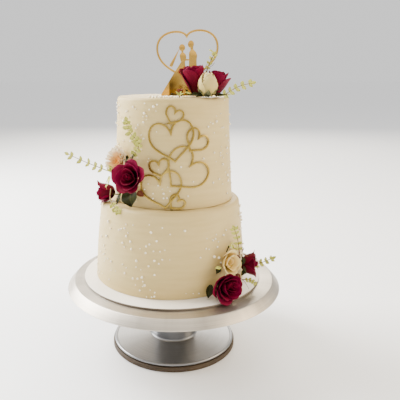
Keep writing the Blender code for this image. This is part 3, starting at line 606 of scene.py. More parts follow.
def ribbonRing(line, stroke, thickness, edge):  # flat closed ribbon in the XZ plane, from Y = 0 to -thickness
    bm = bmesh.new()
    loops = []
    for side in (-0.5, 0.5):
        rim = []
        for index, point in enumerate(line):
            before, after = line[index - 1], line[(index + 1) % len(line)]
            first, second = (point - before).normalized(), (after - point).normalized()
            along = (first + second).normalized()
            reach = 1 / max(first.dot(along), corners["leastCosine"])    # keeps the width at a corner
            reach = min(reach, corners["mostReach"])
            shifted = point + Vector((-along.y, along.x)) * stroke * side * reach
            rim.append(bm.verts.new((shifted.x * mm, 0, shifted.y * mm)))
        loops += [bm.edges.new((rim[i], rim[(i + 1) % len(rim)])) for i in range(len(rim))]
    faces = bmesh.ops.bridge_loops(bm, edges=loops)["faces"]
    grown = bmesh.ops.extrude_face_region(bm, geom=faces)["geom"]
    front = [item for item in grown if isinstance(item, bmesh.types.BMVert)]
    bmesh.ops.translate(bm, verts=front, vec=(0, -thickness * mm, 0))
    bmesh.ops.recalc_face_normals(bm, faces=bm.faces)
    if edge:
        roundRims(bm, edge, corners["sharpFrom"])
    return bm


def unionOf(shapes):  # joins closed shapes into one, the first of which takes up the others
    made = []
    for index, bm in enumerate(shapes):
        mesh = bpy.data.meshes.new("part")
        bm.to_mesh(mesh)
        bm.free()
        made.append(bpy.data.objects.new("part" + str(index), mesh))
        bpy.context.scene.collection.objects.link(made[-1])
    others = bpy.data.collections.new("others")
    bpy.context.scene.collection.children.link(others)
    for other in made[1:]:
        bpy.context.scene.collection.objects.unlink(other)
        others.objects.link(other)
    joining = made[0].modifiers.new("join", "BOOLEAN")
    joining.operation = "UNION"
    joining.operand_type = "COLLECTION"
    joining.collection = others
    joining.solver = "EXACT"
    seen = made[0].evaluated_get(bpy.context.evaluated_depsgraph_get())
    bm = bmesh.new()
    bm.from_mesh(seen.to_mesh())
    for old in made:
        bpy.data.objects.remove(old, do_unlink=True)
    bpy.data.collections.remove(others)
    return bm


def buildHearts():
    h = hearts
    rings = []
    for index, heart in enumerate(h["placed"]):
        line = heartLine(heart, h["rise"], h["widest"], h["steps"], h["flank"])
        rings.append(ribbonRing(line, h["stroke"], h["thickness"] - h["thinner"] * index, h["edge"]))
    bm = unionOf(rings)
    for vert in bm.verts:
        around = vert.co.x / mm / h["sizeRadius"]
        vert.co = tierPoint(tiers["upper"], around, vert.co.z / mm, h["standoff"] - vert.co.y / mm) * mm
    addPiece("heartOrnament", bm, [heartGold], "turntable", ["gold_hearts"],
             sharpAngle=metalAngle)


buildHearts()
print("hearts made")


# Topper: one flat gold sheet with a heart outline and the plain silhouettes of a couple

topper = {
    "front": -7.5, "thickness": 3.0, "foot": 362.3, "edge": 0.25, "flatAngle": 1.0, "rimAngle": 55.0,
    "sharpAngle": 25,
    "heart": {"tip": (21.1, 386.0), "width": 82.0, "lean": -3.6, "height": 0.683},
    "stroke": 2.8, "rise": 0.14, "widest": -0.18, "flank": ((0.5, 0.247), (0.238, 0.112)), "steps": 22,
    "dressFoot": (-18.5, 40.0),
    "dress": [(31.0, 388.0), (30.6, 396.0), (21.4, 396.0), (20.0, 390.0), (17.0, 396.0), (15.2, 408.5),
              (10.2, 408.5), (0.5, 393.5)],
    "round": {
        "bodice": [(10.4, 408.0), (15.2, 408.0), (17.0, 414.0), (16.0, 418.6), (13.2, 421.0), (13.0, 424.5),
                   (10.6, 424.5), (10.4, 421.0), (8.2, 417.5), (8.8, 412.5)],
        "veil": [(8.3, 427.4), (6.8, 424.8), (-5.4, 404.6), (-3.8, 401.8), (-1.4, 402.8)],
        "suit": [(21.4, 395.0), (30.6, 395.0), (31.2, 411.0), (31.8, 416.5), (30.0, 421.5), (26.6, 425.0),
                 (26.2, 428.5), (22.6, 428.5), (22.9, 424.5), (20.8, 420.5), (20.8, 412.0)],
    },
    "hands": [(14.6, 412.4), (22.0, 411.8), (22.0, 410.0), (14.6, 409.9)],
    "heads": [((11.3, 427.2), 4.1, 4.7), ((23.3, 431.8), 4.1, 5.1)], "headSteps": 36,
    "perSpan": 5, "pull": 7,
}


def roundedOutline(points, perSpan, pull):  # closed smooth line through an outline's points
    points = [Vector(point) for point in points]
    found = []
    for index, start in enumerate(points):
        before, end = points[index - 1], points[(index + 1) % len(points)]
        after = points[(index + 2) % len(points)]
        found += bezier(start, start + (end - before) / pull, end - (after - start) / pull, end, perSpan)[:-1]
    return found


def flatPlate(outline, thickness):  # plate with an outline in the XZ plane, from Y = 0 to -thickness
    bm = bmesh.new()
    face = bm.faces.new([bm.verts.new((point[0] * mm, 0, point[1] * mm)) for point in outline])
    grown = bmesh.ops.extrude_face_region(bm, geom=[face])["geom"]
    front = [item for item in grown if isinstance(item, bmesh.types.BMVert)]
    bmesh.ops.translate(bm, verts=front, vec=(0, -thickness * mm, 0))
    bmesh.ops.recalc_face_normals(bm, faces=bm.faces)
    return bm


def oval(centre, halfWidth, halfHeight, steps):
    x, y = centre
    turns = [math.tau * step / steps for step in range(steps)]
    return [(x + halfWidth * math.cos(turn), y + halfHeight * math.sin(turn)) for turn in turns]


def buildTopper():
    t = topper
    outlines = [[(t["dressFoot"][0], t["foot"]), (t["dressFoot"][1], t["foot"])] + t["dress"], t["hands"]]
    outlines += [roundedOutline(points, t["perSpan"], t["pull"]) for points in t["round"].values()]
    outlines += [oval(*head, t["headSteps"]) for head in t["heads"]]
    line = heartLine(t["heart"], t["rise"], t["widest"], t["steps"], t["flank"])
    shapes = [ribbonRing(line, t["stroke"], t["thickness"], 0.0)]
    shapes += [flatPlate(outline, t["thickness"]) for outline in outlines]
    bm = unionOf(shapes)
    bmesh.ops.dissolve_limit(bm, angle_limit=math.radians(t["flatAngle"]), verts=bm.verts, edges=bm.edges)
    roundRims(bm, t["edge"], t["rimAngle"], shortest=t["edge"], clamp=True)
    bmesh.ops.triangulate(bm, faces=[face for face in bm.faces if len(face.verts) > 4])
    bmesh.ops.translate(bm, verts=bm.verts, vec=(0, (t["front"] + t["thickness"]) * mm, 0))
    addPiece("topper_sheet", bm, [topperGold], "turntable", ["topper"],
             sharpAngle=t["sharpAngle"])


buildTopper()
print("topper made")


# Flowers

petalKinds = {                # wrap: half width round the axis; the rest are shares of the flower's size
    "rose": [
        {"count": 3, "wrap": 80, "reach": 0.34, "height": 1.00, "curl": 0.02, "start": 0.30, "bowl": 0.85},
        {"count": 3, "wrap": 76, "reach": 0.52, "height": 0.99, "curl": 0.06, "start": 0.20, "bowl": 0.85},
        {"count": 4, "wrap": 64, "reach": 0.72, "height": 0.95, "curl": 0.16, "start": 0.10, "bowl": 0.85},
        {"count": 5, "wrap": 50, "reach": 0.86, "height": 0.86, "curl": 0.22, "start": 0.02, "bowl": 0.85,
         "point": 1.5, "outer": True},
    ],
    "loose": [                # fewer and broader petals
        {"count": 2, "wrap": 96, "reach": 0.42, "height": 1.00, "curl": 0.02, "start": 0.30, "bowl": 0.85},
        {"count": 3, "wrap": 84, "reach": 0.66, "height": 0.98, "curl": 0.10, "start": 0.15, "bowl": 0.85},
        {"count": 5, "wrap": 58, "reach": 0.80, "height": 0.90, "curl": 0.38, "start": 0.00, "bowl": 1.05,
         "point": 1.4, "pinch": 0.12, "outer": True},
    ],
    "cup": [                  # a rose seen from its side, its petals still upright
        {"count": 3, "wrap": 82, "reach": 0.50, "height": 0.97, "curl": 0.03, "start": 0.25, "bowl": 1.0},
        {"count": 3, "wrap": 78, "reach": 0.74, "height": 1.00, "curl": 0.10, "start": 0.10, "bowl": 1.0},
        {"count": 4, "wrap": 72, "reach": 0.90, "height": 1.00, "curl": 0.12, "start": 0.00, "bowl": 0.95,
         "round": 0.42, "pinch": 0.0, "outer": True},
    ],
    "side": [                 # a rose that the photo shows from its side, full down to its foot
        {"count": 3, "wrap": 82, "reach": 0.44, "height": 0.86, "curl": 0.03, "start": 0.30, "bowl": 0.7},
        {"count": 4, "wrap": 70, "reach": 0.66, "height": 0.88, "curl": 0.08, "start": 0.12, "bowl": 0.55},
        {"count": 5, "wrap": 58, "reach": 0.80, "height": 1.00, "curl": 0.36, "start": 0.02, "bowl": 0.52,
         "point": 1.4, "round": 0.40, "pinch": 0.03, "outer": True},
    ],
    "open": [                 # an open rose whose heart shows
        {"count": 2, "wrap": 88, "reach": 0.36, "height": 0.62, "curl": 0.06, "start": 0.12, "bowl": 0.6},
        {"count": 3, "wrap": 84, "reach": 0.62, "height": 0.97, "curl": 0.10, "start": 0.08, "bowl": 0.7},
        {"count": 5, "wrap": 60, "reach": 0.88, "height": 0.90, "curl": 0.20, "start": 0.02, "bowl": 0.65,
         "outer": True},
    ],
    "bud": [
        {"count": 3, "wrap": 84, "reach": 0.52, "height": 0.98, "curl": -0.25, "start": 0.12, "bowl": 0.6},
        {"count": 3, "wrap": 84, "reach": 0.78, "height": 0.95, "curl": -0.38, "start": 0.06, "bowl": 0.5},
        {"count": 4, "wrap": 78, "reach": 0.97, "height": 0.90, "curl": -0.36, "start": 0.00, "bowl": 0.46,
         "point": 1.9, "round": 0.42, "pinch": 0.0, "outer": True},
    ],
}
flowers = {                   # outer: each outer petal's turn, its size and, if it is lower, its height
    "rose_top_left": {"base": (29.5, -27.0, 363.9), "faces": (-50, 81), "radius": 16.4, "height": 40.5,
                      "kind": "cup", "outer": [(205, 1.06), (-72, 1.0), (0, 0.9), (100, 1.02)]},
    "rose_top_right": {"base": (56.0, -22.5, 363.5), "faces": (72, 80), "radius": 15.2, "height": 34.0,
                       "kind": "cup",
                       "outer": [(-172, 0.98), (-92, 1.10, 0.84), (10, 1.0, 0.94), (100, 0.95)]},
    "rose_left_large": {"base": (-47.8, -63.2, 256.0), "faces": (-32, 18), "radius": 23.5, "height": 27.0,
                        "kind": "loose",
                        "outer": [(84, 0.90), (168, 1.14), (234, 0.90), (302, 0.86), (18, 0.98)]},
    "rose_left_small": {"base": (-80.3, -26.0, 232.5), "faces": (-88, -6), "radius": 15.2, "height": 28.0,
                        "kind": "side",
                        "outer": [(84, 1.05), (140, 0.85), (205, 0.85), (268, 1.10), (340, 0.85)]},
    "rose_right_large": {"base": (58.3, -82.0, 118.0), "faces": (34, 15), "radius": 22.5, "height": 31.0,
                         "flatten": 0.80, "heart": (0.24, 0.06),
                         "outer": [(172, 1.10), (207, 0.98), (244, 1.10), (296, 0.94), (0, 0.90), (75, 0.90),
                                   (132, 1.0)]},
    "rose_right_side": {"base": (91.5, -43.6, 133.5), "faces": (78, 5), "radius": 17.6, "height": 25.0,
                        "kind": "side",
                        "outer": [(100, 1.12), (165, 0.92), (225, 0.95), (285, 1.10), (20, 0.95)]},
    "rose_cream": {"base": (67.6, -70.8, 147.5), "faces": (38, 10), "radius": 15.0, "height": 19.0,
                   "kind": "open", "coreTop": 0.30,
                   "outer": [(225, 1.06), (80, 1.04), (330, 0.96), (160, 1.0), (275, 0.95)]},
    "white_bud": {"base": (43.4, -47.0, 362.9), "faces": (10, 84), "radius": 13.0, "height": 32.0,
                  "kind": "bud", "outer": [(92, 0.98), (172, 1.0), (8, 0.98), (-86, 1.03)]},
}
petalShape = {"across": 10, "along": 10, "foot": 0.14, "round": 0.28, "point": 2.4, "pinch": 0.05,
              "pinchWidth": 0.18, "tuck": 0.07, "sideCurl": 0.06, "rollover": 0.5, "wave": 0.07,
              "thickness": 0.5, "pinchRise": 6, "narrow": (0.18, 0.55), "curlFrom": 0.68, "rollFrom": 0.80,
              "waves": (1.8, 1.5), "lengthVaries": (0.96, 1.0), "wrapVaries": (0.94, 1.06),
              "leanVaries": 0.04, "nextLayer": (0.4, 0.9), "firstSeed": 3}
coreShape = {"turns": 2.1, "inner": 0.03, "outer": 0.24, "foot": 0.35, "top": 0.92, "segments": (30, 5),
             "narrowFoot": 0.75, "rippleHeight": 0.05, "ripples": 9, "tone": 0.35}
cupShape = {"segments": 24, "lip": 0.46, "height": 0.50}
sepals = {"node": "white_bud", "count": 6, "length": 12.5, "width": 8.5, "start": 0.4, "foot": 0.42,
          "lean": 0.75}


def addPetal(bm, flower, layer, around, size, tall, rng):
    p, tones = petalShape, bm.verts.layers.float["tone"]
    radius, height = flower["radius"], flower["height"]
    start = layer["start"] * height
    top = layer["height"] * tall * height * rng.uniform(*p["lengthVaries"])
    wrap = math.radians(layer["wrap"]) * rng.uniform(*p["wrapVaries"])
    lean = rng.uniform(-p["leanVaries"], p["leanVaries"])
    seed, tone = rng.uniform(0, 50), rng.random()
    heart = Vector(flower.get("heart", (0, 0))) * radius     # how far the flower's middle lies to one side
    made = bmesh.ops.create_grid(bm, x_segments=p["across"], y_segments=p["along"], size=1.0, calc_uvs=True)
    for vert in made["verts"]:
        across, along = vert.co.x, (vert.co.y + 1) / 2
        side = abs(across)
        share = along * (1 - layer.get("round", p["round"]) * side ** layer.get("point", p["point"]))
        pinch = layer.get("pinch", p["pinch"]) * math.exp(-(across / p["pinchWidth"]) ** 2)
        share += pinch * along ** p["pinchRise"]
        turn = around + wrap * across * math.sin(math.pi * (p["narrow"][0] + p["narrow"][1] * along))
        opening = p["foot"] + (1 - p["foot"]) * math.sin(math.pi / 2 * min(share, 1.0) ** layer["bowl"])
        curl = layer["curl"] * fade(p["curlFrom"], 1.0, share)
        onWave = Vector((across * p["waves"][0], along * p["waves"][1], seed))
        wave = p["wave"] * along ** 2 * noise.noise(onWave)
        reach = opening + curl + p["tuck"] * across + p["sideCurl"] * side ** 3 * along + wave + lean * along
        reach *= radius * layer["reach"] * size
        drop = p["rollover"] * max(curl, 0.0) * fade(p["rollFrom"], 1.0, share)
        rise = start + (top - start) * (share - drop)
        middle = heart * max(1 - reach / radius, 0.0) * (rise / height)
        vert.co = Vector((middle.x + reach * math.cos(turn),
                          middle.y + reach * math.sin(turn) * flower.get("flatten", 1.0),
                          min(rise, height))) * mm
        vert[tones] = tone


def addCore(bm, flower, around):  # the wound heart of a rose
    c, tones = coreShape, bm.verts.layers.float["tone"]
    radius, height = flower["radius"], flower["height"]
    top = flower.get("coreTop", c["top"]) - c["foot"]
    heart = Vector(flower.get("heart", (0, 0))) * radius
    rounds, rows = c["segments"]
    made = bmesh.ops.create_grid(bm, x_segments=rounds, y_segments=rows, size=1.0, calc_uvs=True)
    for vert in made["verts"]:
        wound, along = (vert.co.x + 1) / 2, (vert.co.y + 1) / 2
        turn = around + wound * math.tau * c["turns"]
        reach = radius * (c["inner"] + (c["outer"] - c["inner"]) * wound)
        reach *= c["narrowFoot"] + (1 - c["narrowFoot"]) * along
        rise = height * (c["foot"] + (top + c["rippleHeight"] * math.sin(wound * c["ripples"])) * along)
        middle = heart * (rise / height)
        vert.co = Vector((middle.x + reach * math.cos(turn), middle.y + reach * math.sin(turn), rise)) * mm
        vert[tones] = c["tone"]


def addCup(bm, flower):  # a cup in the petals' deepest colour, so that little shows between them
    c = cupShape
    depth = c["height"] * flower["height"]
    made = bmesh.ops.create_cone(bm, segments=c["segments"], radius1=0,
                                 radius2=c["lip"] * flower["radius"] * mm, depth=depth * mm)
    bmesh.ops.translate(bm, verts=made["verts"], vec=(0, 0, depth / 2 * mm))
    bmesh.ops.scale(bm, verts=made["verts"], vec=(1, flower.get("flatten", 1.0), 1))


def flowerMesh(flower, seed):
    rng = random.Random(seed)
    bm = bmesh.new()
    bm.loops.layers.uv.new("UVMap")
    bm.verts.layers.float.new("tone")
    around = rng.uniform(0, math.tau)
    addCup(bm, flower)
    addCore(bm, flower, around)
    for layer in petalKinds[flower.get("kind", "rose")]:
        around += rng.uniform(*petalShape["nextLayer"])
        count = layer["count"]
        places = [(around + math.tau * index / count, 1.0, 1.0) for index in range(count)]
        if layer.get("outer"):
            places = [(math.radians(turn), size, *(tall or [1.0])) for turn, size, *tall in flower["outer"]]
        for turn, size, tall in places:
            addPetal(bm, flower, layer, turn, size, tall, rng)
    bmesh.ops.transform(bm, matrix=placeOn(flower["base"], flower["faces"]), verts=bm.verts)
    return bm


def buildFlowers():
    for seed, (node, flower) in enumerate(flowers.items()):
        finish = {"rose_cream": cream, "white_bud": white}.get(node, crimson)
        bm = flowerMesh(flower, petalShape["firstSeed"] + seed)
        piece = addPiece(node + "_petals", bm, [finish], "turntable", [node], sharpAngle=sheetAngle)
        thicken(piece, petalShape["thickness"])


buildFlowers()
print("roses made")

fluffyFlower = {              # petals: how many in a ring, how far out, how high, and where they start
    "base": (-70.5, -41.0, 275.0), "faces": (-46, 18), "radius": 19.0, "height": 14.0,
    "petalWidth": 2.0, "thickness": 0.35, "longest": 150, "flare": 0.26, "seed": 77, "segments": (2, 5),
    "turnVaries": 0.3, "reachVaries": (0.88, 1.04), "riseVaries": (0.88, 1.0), "narrow": (0.12, 0.74),
    "hole": 0.06, "bowl": 1.3, "edgeLift": 0.35, "toneSpan": (0.16, 0.92),
    "rings": [(30, 1.00, 0.62, 0.10), (28, 0.92, 0.78, 0.12), (26, 0.82, 0.92, 0.14), (22, 0.68, 1.00, 0.16),
              (16, 0.50, 0.92, 0.18), (12, 0.34, 0.80, 0.20), (7, 0.18, 0.68, 0.22)],
}


def buildFluffyFlower():
    f = fluffyFlower
    rng = random.Random(f["seed"])
    bm = bmesh.new()
    bm.loops.layers.uv.new("UVMap")
    tones = bm.verts.layers.float.new("tone")
    for count, reach, rise, foot in f["rings"]:
        for index in range(count):
            turn = math.tau * (index + rng.uniform(-f["turnVaries"], f["turnVaries"])) / count
            long, high = reach * rng.uniform(*f["reachVaries"]), rise * rng.uniform(*f["riseVaries"])
            long *= 1 + f["flare"] * math.cos(turn - math.radians(f["longest"]))
            made = bmesh.ops.create_grid(bm, x_segments=f["segments"][0], y_segments=f["segments"][1],
                                         size=1.0, calc_uvs=True)
            for vert in made["verts"]:
                across, along = vert.co.x, (vert.co.y + 1) / 2
                width = f["petalWidth"] * math.sin(math.pi * (f["narrow"][0] + f["narrow"][1] * along))
                out = f["radius"] * (f["hole"] + (long - f["hole"]) * math.sin(math.pi / 2 * along))
                up = f["height"] * (foot + (high - foot) * along ** f["bowl"])
                up += f["edgeLift"] * abs(across) * along
                side = across * width
                vert.co = Vector((out * math.cos(turn) - side * math.sin(turn),
                                  out * math.sin(turn) + side * math.cos(turn), up)) * mm
                vert[tones] = fade(*f["toneSpan"], out / f["radius"])
    bmesh.ops.transform(bm, matrix=placeOn(f["base"], f["faces"]), verts=bm.verts)
    piece = addPiece("fluffy_petals", bm, [fluffy], "turntable", ["fluffy_flower"],
                     sharpAngle=sheetAngle)
    thicken(piece, f["thickness"])


buildFluffyFlower()
print("fluffy flower made")


# Leaves

leaves = {
    "leaf_top_front": {"base": (31.0, -52.5, 364.6), "tip": (14.0, -57.0, 366.5), "width": 9.0},
    "leaf_top_left": {"base": (14.5, -36.0, 364.2), "tip": (-4.0, -42.0, 366.0), "width": 8.0},
    "leaf_top_right": {"base": (55.0, -51.0, 364.2), "tip": (70.0, -46.0, 365.6), "width": 8.0},
    "leaf_left_under": {"base": (-58.5, -60.5, 243.0), "tip": (-55.5, -70.0, 221.5), "width": 27.0},
    "leaf_left_low": {"base": (-70.5, -52.0, 236.5), "tip": (-75.5, -58.5, 221.0), "width": 8.0},
    "leaf_left_red": {"base": (-47.5, -66.5, 241.0), "tip": (-38.5, -72.0, 236.0), "width": 8.5,
                      "kind": "rust"},
    "leaf_right_low": {"base": (47.6, -92.6, 125.0), "tip": (43.4, -98.6, 109.2), "width": 10.5},
    "leaf_right_left": {"base": (60.0, -82.5, 145.5), "tip": (54.5, -91.0, 139.0), "width": 8.0},
    "leaf_right_upper": {"base": (80.5, -61.5, 163.0), "tip": (77.0, -67.5, 169.5), "width": 7.5,
                         "kind": "pale"},
}
leafKinds = {"dark": (darkLeaf, "dark_leaves"), "pale": (paleLeaf, "sprig_leaves"),
             "rust": (rustLeaf, "reddish_leaf")}
leafShape = {                 # lifts: how far a leaf's face turns up, on the cake's top and on its side
    "thickness": 0.5, "liftOnTop": 5.0, "liftSmall": 1.2, "liftOnSide": 0.9,
    "fold": 0.10, "wave": 0.05, "blunt": 0.8,
}
leafCurve = {"start": 0.03, "span": 0.95, "crease": 1.4, "sunk": 0.6, "waves": 9, "skew": 1.5}


def addLeaf(bm, base, turn, size, seed, shape=leafShape, segments=(6, 12)):  # size: length and width
    made = bmesh.ops.create_grid(bm, x_segments=segments[0], y_segments=segments[1], size=1.0, calc_uvs=True)
    length, width = size
    c = leafCurve
    for vert in made["verts"]:
        side, share = vert.co.x, (vert.co.y + 1) / 2
        spread = math.sin(math.pi * (c["start"] + c["span"] * share) ** shape["blunt"])
        lift = shape["fold"] * (side * side * c["crease"] - c["sunk"])
        lift += shape["wave"] * math.sin(c["waves"] * share + seed + c["skew"] * side)
        vert.co = Vector((share * length, side * spread * width / 2, lift * width)) * mm
    bmesh.ops.transform(bm, matrix=Matrix.Translation(base) @ turn, verts=made["verts"])


def addPlacedLeaf(bm, base, tip, width, seed, liftOnTop):  # a leaf whose face turns outwards
    base, tip = Vector(base), Vector(tip)
    lift = liftOnTop if base.z > tiers["upper"]["top"] else leafShape["liftOnSide"]
    outward = Vector((base.x, base.y, 0)).normalized() + Vector((0, 0, lift))
    addLeaf(bm, base * mm, frameOf(tip - base, outward), ((tip - base).length, width), seed)


def buildLeaves():
    for seed, (node, leaf) in enumerate(leaves.items()):
        bm = bmesh.new()
        bm.loops.layers.uv.new("UVMap")
        addPlacedLeaf(bm, leaf["base"], leaf["tip"], leaf["width"], seed, leafShape["liftOnTop"])
        finish, slotName = leafKinds[leaf.get("kind", "dark")]
        piece = addPiece(node + "_blade", bm, [finish], "turntable", [node], sharpAngle=sheetAngle)
        thicken(piece, leafShape["thickness"])


buildLeaves()

smallLeaves = {               # base, tip and width of the little leaves among the flowers
    "dark": [
        ((32.9, -44.0, 366.8), (21.6, -52.0, 364.5), 7.0),
        ((36.5, -50.0, 367.0), (28.3, -60.0, 363.6), 8.0),
        ((44.1, -52.0, 366.2), (39.7, -62.0, 363.6), 8.0),
        ((49.4, -50.0, 367.0), (55.2, -58.0, 363.8), 8.0),
        ((55.1, -44.0, 367.7), (64.9, -50.0, 364.4), 7.0),
        ((59.3, -40.0, 371.2), (52.1, -47.0, 374.0), 7.0),
        ((19.2, -46.0, 367.8), (14.3, -48.0, 372.1), 5.0),
        ((-59.3, -60.0, 285.8), (-61.8, -72.0, 280.4), 5.0),
        ((-54.8, -60.0, 283.6), (-50.6, -64.0, 288.1), 5.0),
        ((-59.4, -60.0, 284.2), (-61.3, -66.0, 288.5), 4.5),
        ((-69.5, -58.0, 234.5), (-79.6, -66.0, 238.0), 5.0),
        ((83.9, -62.0, 143.6), (84.5, -74.0, 139.2), 7.0),
        ((92.9, -60.0, 142.8), (89.8, -66.0, 156.2), 6.0),
        ((95.1, -58.0, 147.7), (90.1, -66.0, 140.9), 6.0),
        ((95.8, -60.0, 131.5), (88.9, -72.0, 128.7), 6.0),
        ((93.4, -62.0, 137.9), (96.4, -66.0, 128.3), 5.5),
        ((68.3, -80.0, 164.1), (70.7, -86.0, 175.0), 6.0),
        ((105.0, -40.0, 143.0), (114.0, -46.0, 142.4), 3.5),
    ],
    "pale": [
        ((7.2, -50.0, 364.3), (2.9, -52.0, 369.6), 4.0),
        ((7.4, -50.0, 364.0), (9.9, -54.0, 369.8), 4.5),
        ((6.8, -51.0, 364.3), (12.4, -58.0, 367.7), 4.0),
        ((22.3, -50.0, 367.0), (14.8, -56.0, 368.4), 5.0),
        ((68.1, -44.0, 364.8), (73.7, -50.0, 365.6), 4.0),
        ((-80.4, -50.0, 265.1), (-85.1, -58.0, 274.6), 6.0),
        ((-81.5, -52.0, 264.2), (-87.2, -58.0, 268.7), 5.0),
        ((-83.9, -54.0, 263.2), (-80.4, -60.0, 271.7), 5.0),
        ((-84.9, -52.0, 258.8), (-85.1, -62.0, 250.8), 6.0),
        ((-86.3, -58.0, 249.3), (-89.1, -62.0, 246.2), 4.0),
        ((71.1, -78.0, 170.1), (75.4, -84.0, 178.9), 6.0),
        ((77.2, -76.0, 166.7), (72.2, -84.0, 175.6), 5.0),
        ((86.0, -64.0, 160.3), (82.1, -72.0, 172.1), 5.0),
        ((61.0, -88.0, 146.0), (52.6, -94.0, 147.7), 4.5),
        ((112.8, -42.0, 133.0), (118.5, -46.0, 129.5), 5.0),
        ((112.2, -42.0, 130.1), (116.5, -46.0, 127.3), 4.0),
        ((53.8, -27.5, 419.3), (46.7, -28.5, 423.6), 7.0),
    ],
    "rust": [
        ((88.6, -60.0, 155.4), (83.9, -64.0, 166.6), 3.0),
        ((91.8, -56.0, 155.4), (93.8, -60.0, 163.1), 3.0),
        ((89.2, -62.0, 149.2), (82.0, -70.0, 157.0), 4.0),
        ((92.9, -58.0, 154.0), (99.2, -62.0, 150.6), 3.0),
    ],
}


def buildSmallLeaves():
    for kind, placed in smallLeaves.items():
        bm = bmesh.new()
        bm.loops.layers.uv.new("UVMap")
        for seed, (base, tip, width) in enumerate(placed):
            addPlacedLeaf(bm, base, tip, width, seed, leafShape["liftSmall"])
        finish, slotName = leafKinds[kind]
        piece = addPiece("small_leaves_" + kind, bm, [finish], "turntable", sharpAngle=sheetAngle)
        thicken(piece, leafShape["thickness"])


buildSmallLeaves()


def buildSepals():  # green leaves that hold the white bud at its foot
    s, bud = sepals, flowers[sepals["node"]]
    bm = bmesh.new()
    bm.loops.layers.uv.new("UVMap")
    for index in range(s["count"]):
        turn = math.tau * index / s["count"] + s["start"]
        out = Vector((math.cos(turn), math.sin(turn), 0))
        heading = out * s["lean"] + Vector((0, 0, 1))
        foot = out * bud["radius"] * s["foot"] * mm
        addLeaf(bm, foot, frameOf(heading, out), (s["length"], s["width"]), index)
    bmesh.ops.transform(bm, matrix=placeOn(bud["base"], bud["faces"]), verts=bm.verts)
    piece = addPiece("white_bud_sepals", bm, [greyLeaf], "turntable", [s["node"]],
                     sharpAngle=sheetAngle)
    thicken(piece, leafShape["thickness"])


buildSepals()
print("leaves made")


# Sprigs of small leaves on bent stems

sprigs = {
    "sprig_top_up": {"route": [(43.6, -27.0, 363.0), (43.0, -27.2, 385.0), (44.6, -27.4, 399.0),
                               (48.6, -27.6, 409.0), (53.6, -28.0, 418.0)],
                     "pairs": 4, "from": 0.50, "leaf": (5.6, 2.8), "stem": 1.15},
    "sprig_top_right": {"route": [(57.5, -41.5, 363.6), (66.0, -39.5, 364.6), (77.0, -34.5, 371.0),
                                  (89.0, -31.0, 376.5), (104.0, -27.0, 380.0)], "pairs": 5, "from": 0.25},
    "sprig_left_out": {"route": [(-77.0, -38.5, 260.0), (-90.0, -33.5, 262.5), (-104.7, -28.0, 267.0),
                                 (-122.0, -25.5, 273.5), (-144.5, -22.0, 283.0)], "pairs": 5, "from": 0.38},
    "sprig_left_up": {"route": [(-56.5, -57.8, 284.0), (-48.5, -62.5, 294.0), (-44.5, -64.0, 303.5),
                                (-50.0, -60.5, 310.0), (-59.0, -54.5, 319.5), (-61.5, -53.0, 332.0)],
                      "pairs": 9, "from": 0.1, "leaf": (7.2, 4.3), "dense": True},
    "sprig_left_down": {"route": [(-84.0, -48.5, 241.0), (-84.0, -56.0, 229.6), (-78.5, -62.0, 220.0),
                                  (-72.5, -66.0, 214.3)], "pairs": 3, "from": 0.55, "leaf": (6.6, 4.6),
                        "dense": True},
    "sprig_right_up": {"route": [(88.5, -54.5, 150.0), (87.0, -57.5, 165.0), (83.5, -61.0, 180.0),
                                 (79.5, -64.5, 190.5)], "pairs": 5, "from": 0.2, "leaf": (8.0, 3.4)},
    "sprig_right_out": {"route": [(103.5, -18.5, 122.0), (114.5, -22.0, 125.0), (126.0, -28.0, 130.5),
                                  (137.5, -32.0, 137.5)], "pairs": 4, "from": 0.35},
    "sprig_right_low": {"route": [(92.5, -57.0, 116.5), (99.0, -60.0, 118.0), (104.5, -62.5, 117.5),
                                  (109.0, -64.0, 114.8)], "pairs": 4, "from": 0.25, "leaf": (5.0, 2.8),
                        "dense": True},
}
sprigLeaf = {"fold": 0.12, "wave": 0.03, "blunt": 0.9}
sprigShape = {                # ahead and forward: how far a leaf leans along its stem and to the front
    "stemRadius": 0.8, "leaf": (8.0, 3.8), "thickness": 0.45, "lastPair": 0.94, "varies": (0.85, 1.15),
    "facing": Vector((0, -1, 0)), "fuller": (0.94, 1.3), "segments": (4, 6), "perSpan": 2,
    "ahead": (0.5, 0.8), "forward": (0.1, 0.4), "seeds": (40, 90),
    "third": {"ahead": 0.7, "forward": (0.3, 0.7), "aside": (-0.7, 0.7), "size": 0.8},
}
stemShape = {"sides": 8, "thinner": 0.45, "perSpan": 6}


def tube(bm, line, radius):  # a round stem along a line, closed at both ends
    made = bmesh.ops.create_circle(bm, segments=stemShape["sides"], radius=radius * mm, cap_ends=True)
    ring = made["verts"]
    start = (line[1] - line[0]).to_track_quat("Z", "Y").to_matrix().to_4x4()
    bmesh.ops.transform(bm, matrix=Matrix.Translation(line[0]) @ start, verts=ring)
    cap = ring[0].link_faces[0]
    taper = 1 - stemShape["thinner"] / len(line)
    for index in range(1, len(line)):
        ahead = line[min(index + 1, len(line) - 1)] - line[index - 1]
        behind = line[index] - line[max(index - 2, 0)]
        grown = bmesh.ops.extrude_face_region(bm, geom=[cap])["geom"]
        if index > 1:
            bmesh.ops.delete(bm, geom=[cap], context="FACES_ONLY")
        verts = [item for item in grown if isinstance(item, bmesh.types.BMVert)]
        cap = next(item for item in grown if isinstance(item, bmesh.types.BMFace))
        bmesh.ops.translate(bm, verts=verts, vec=line[index] - line[index - 1])
        bend = behind.rotation_difference(ahead).to_matrix()
        bmesh.ops.rotate(bm, verts=verts, cent=line[index], matrix=bend)
        bmesh.ops.scale(bm, verts=verts, vec=(taper,) * 3, space=Matrix.Translation(-line[index]))


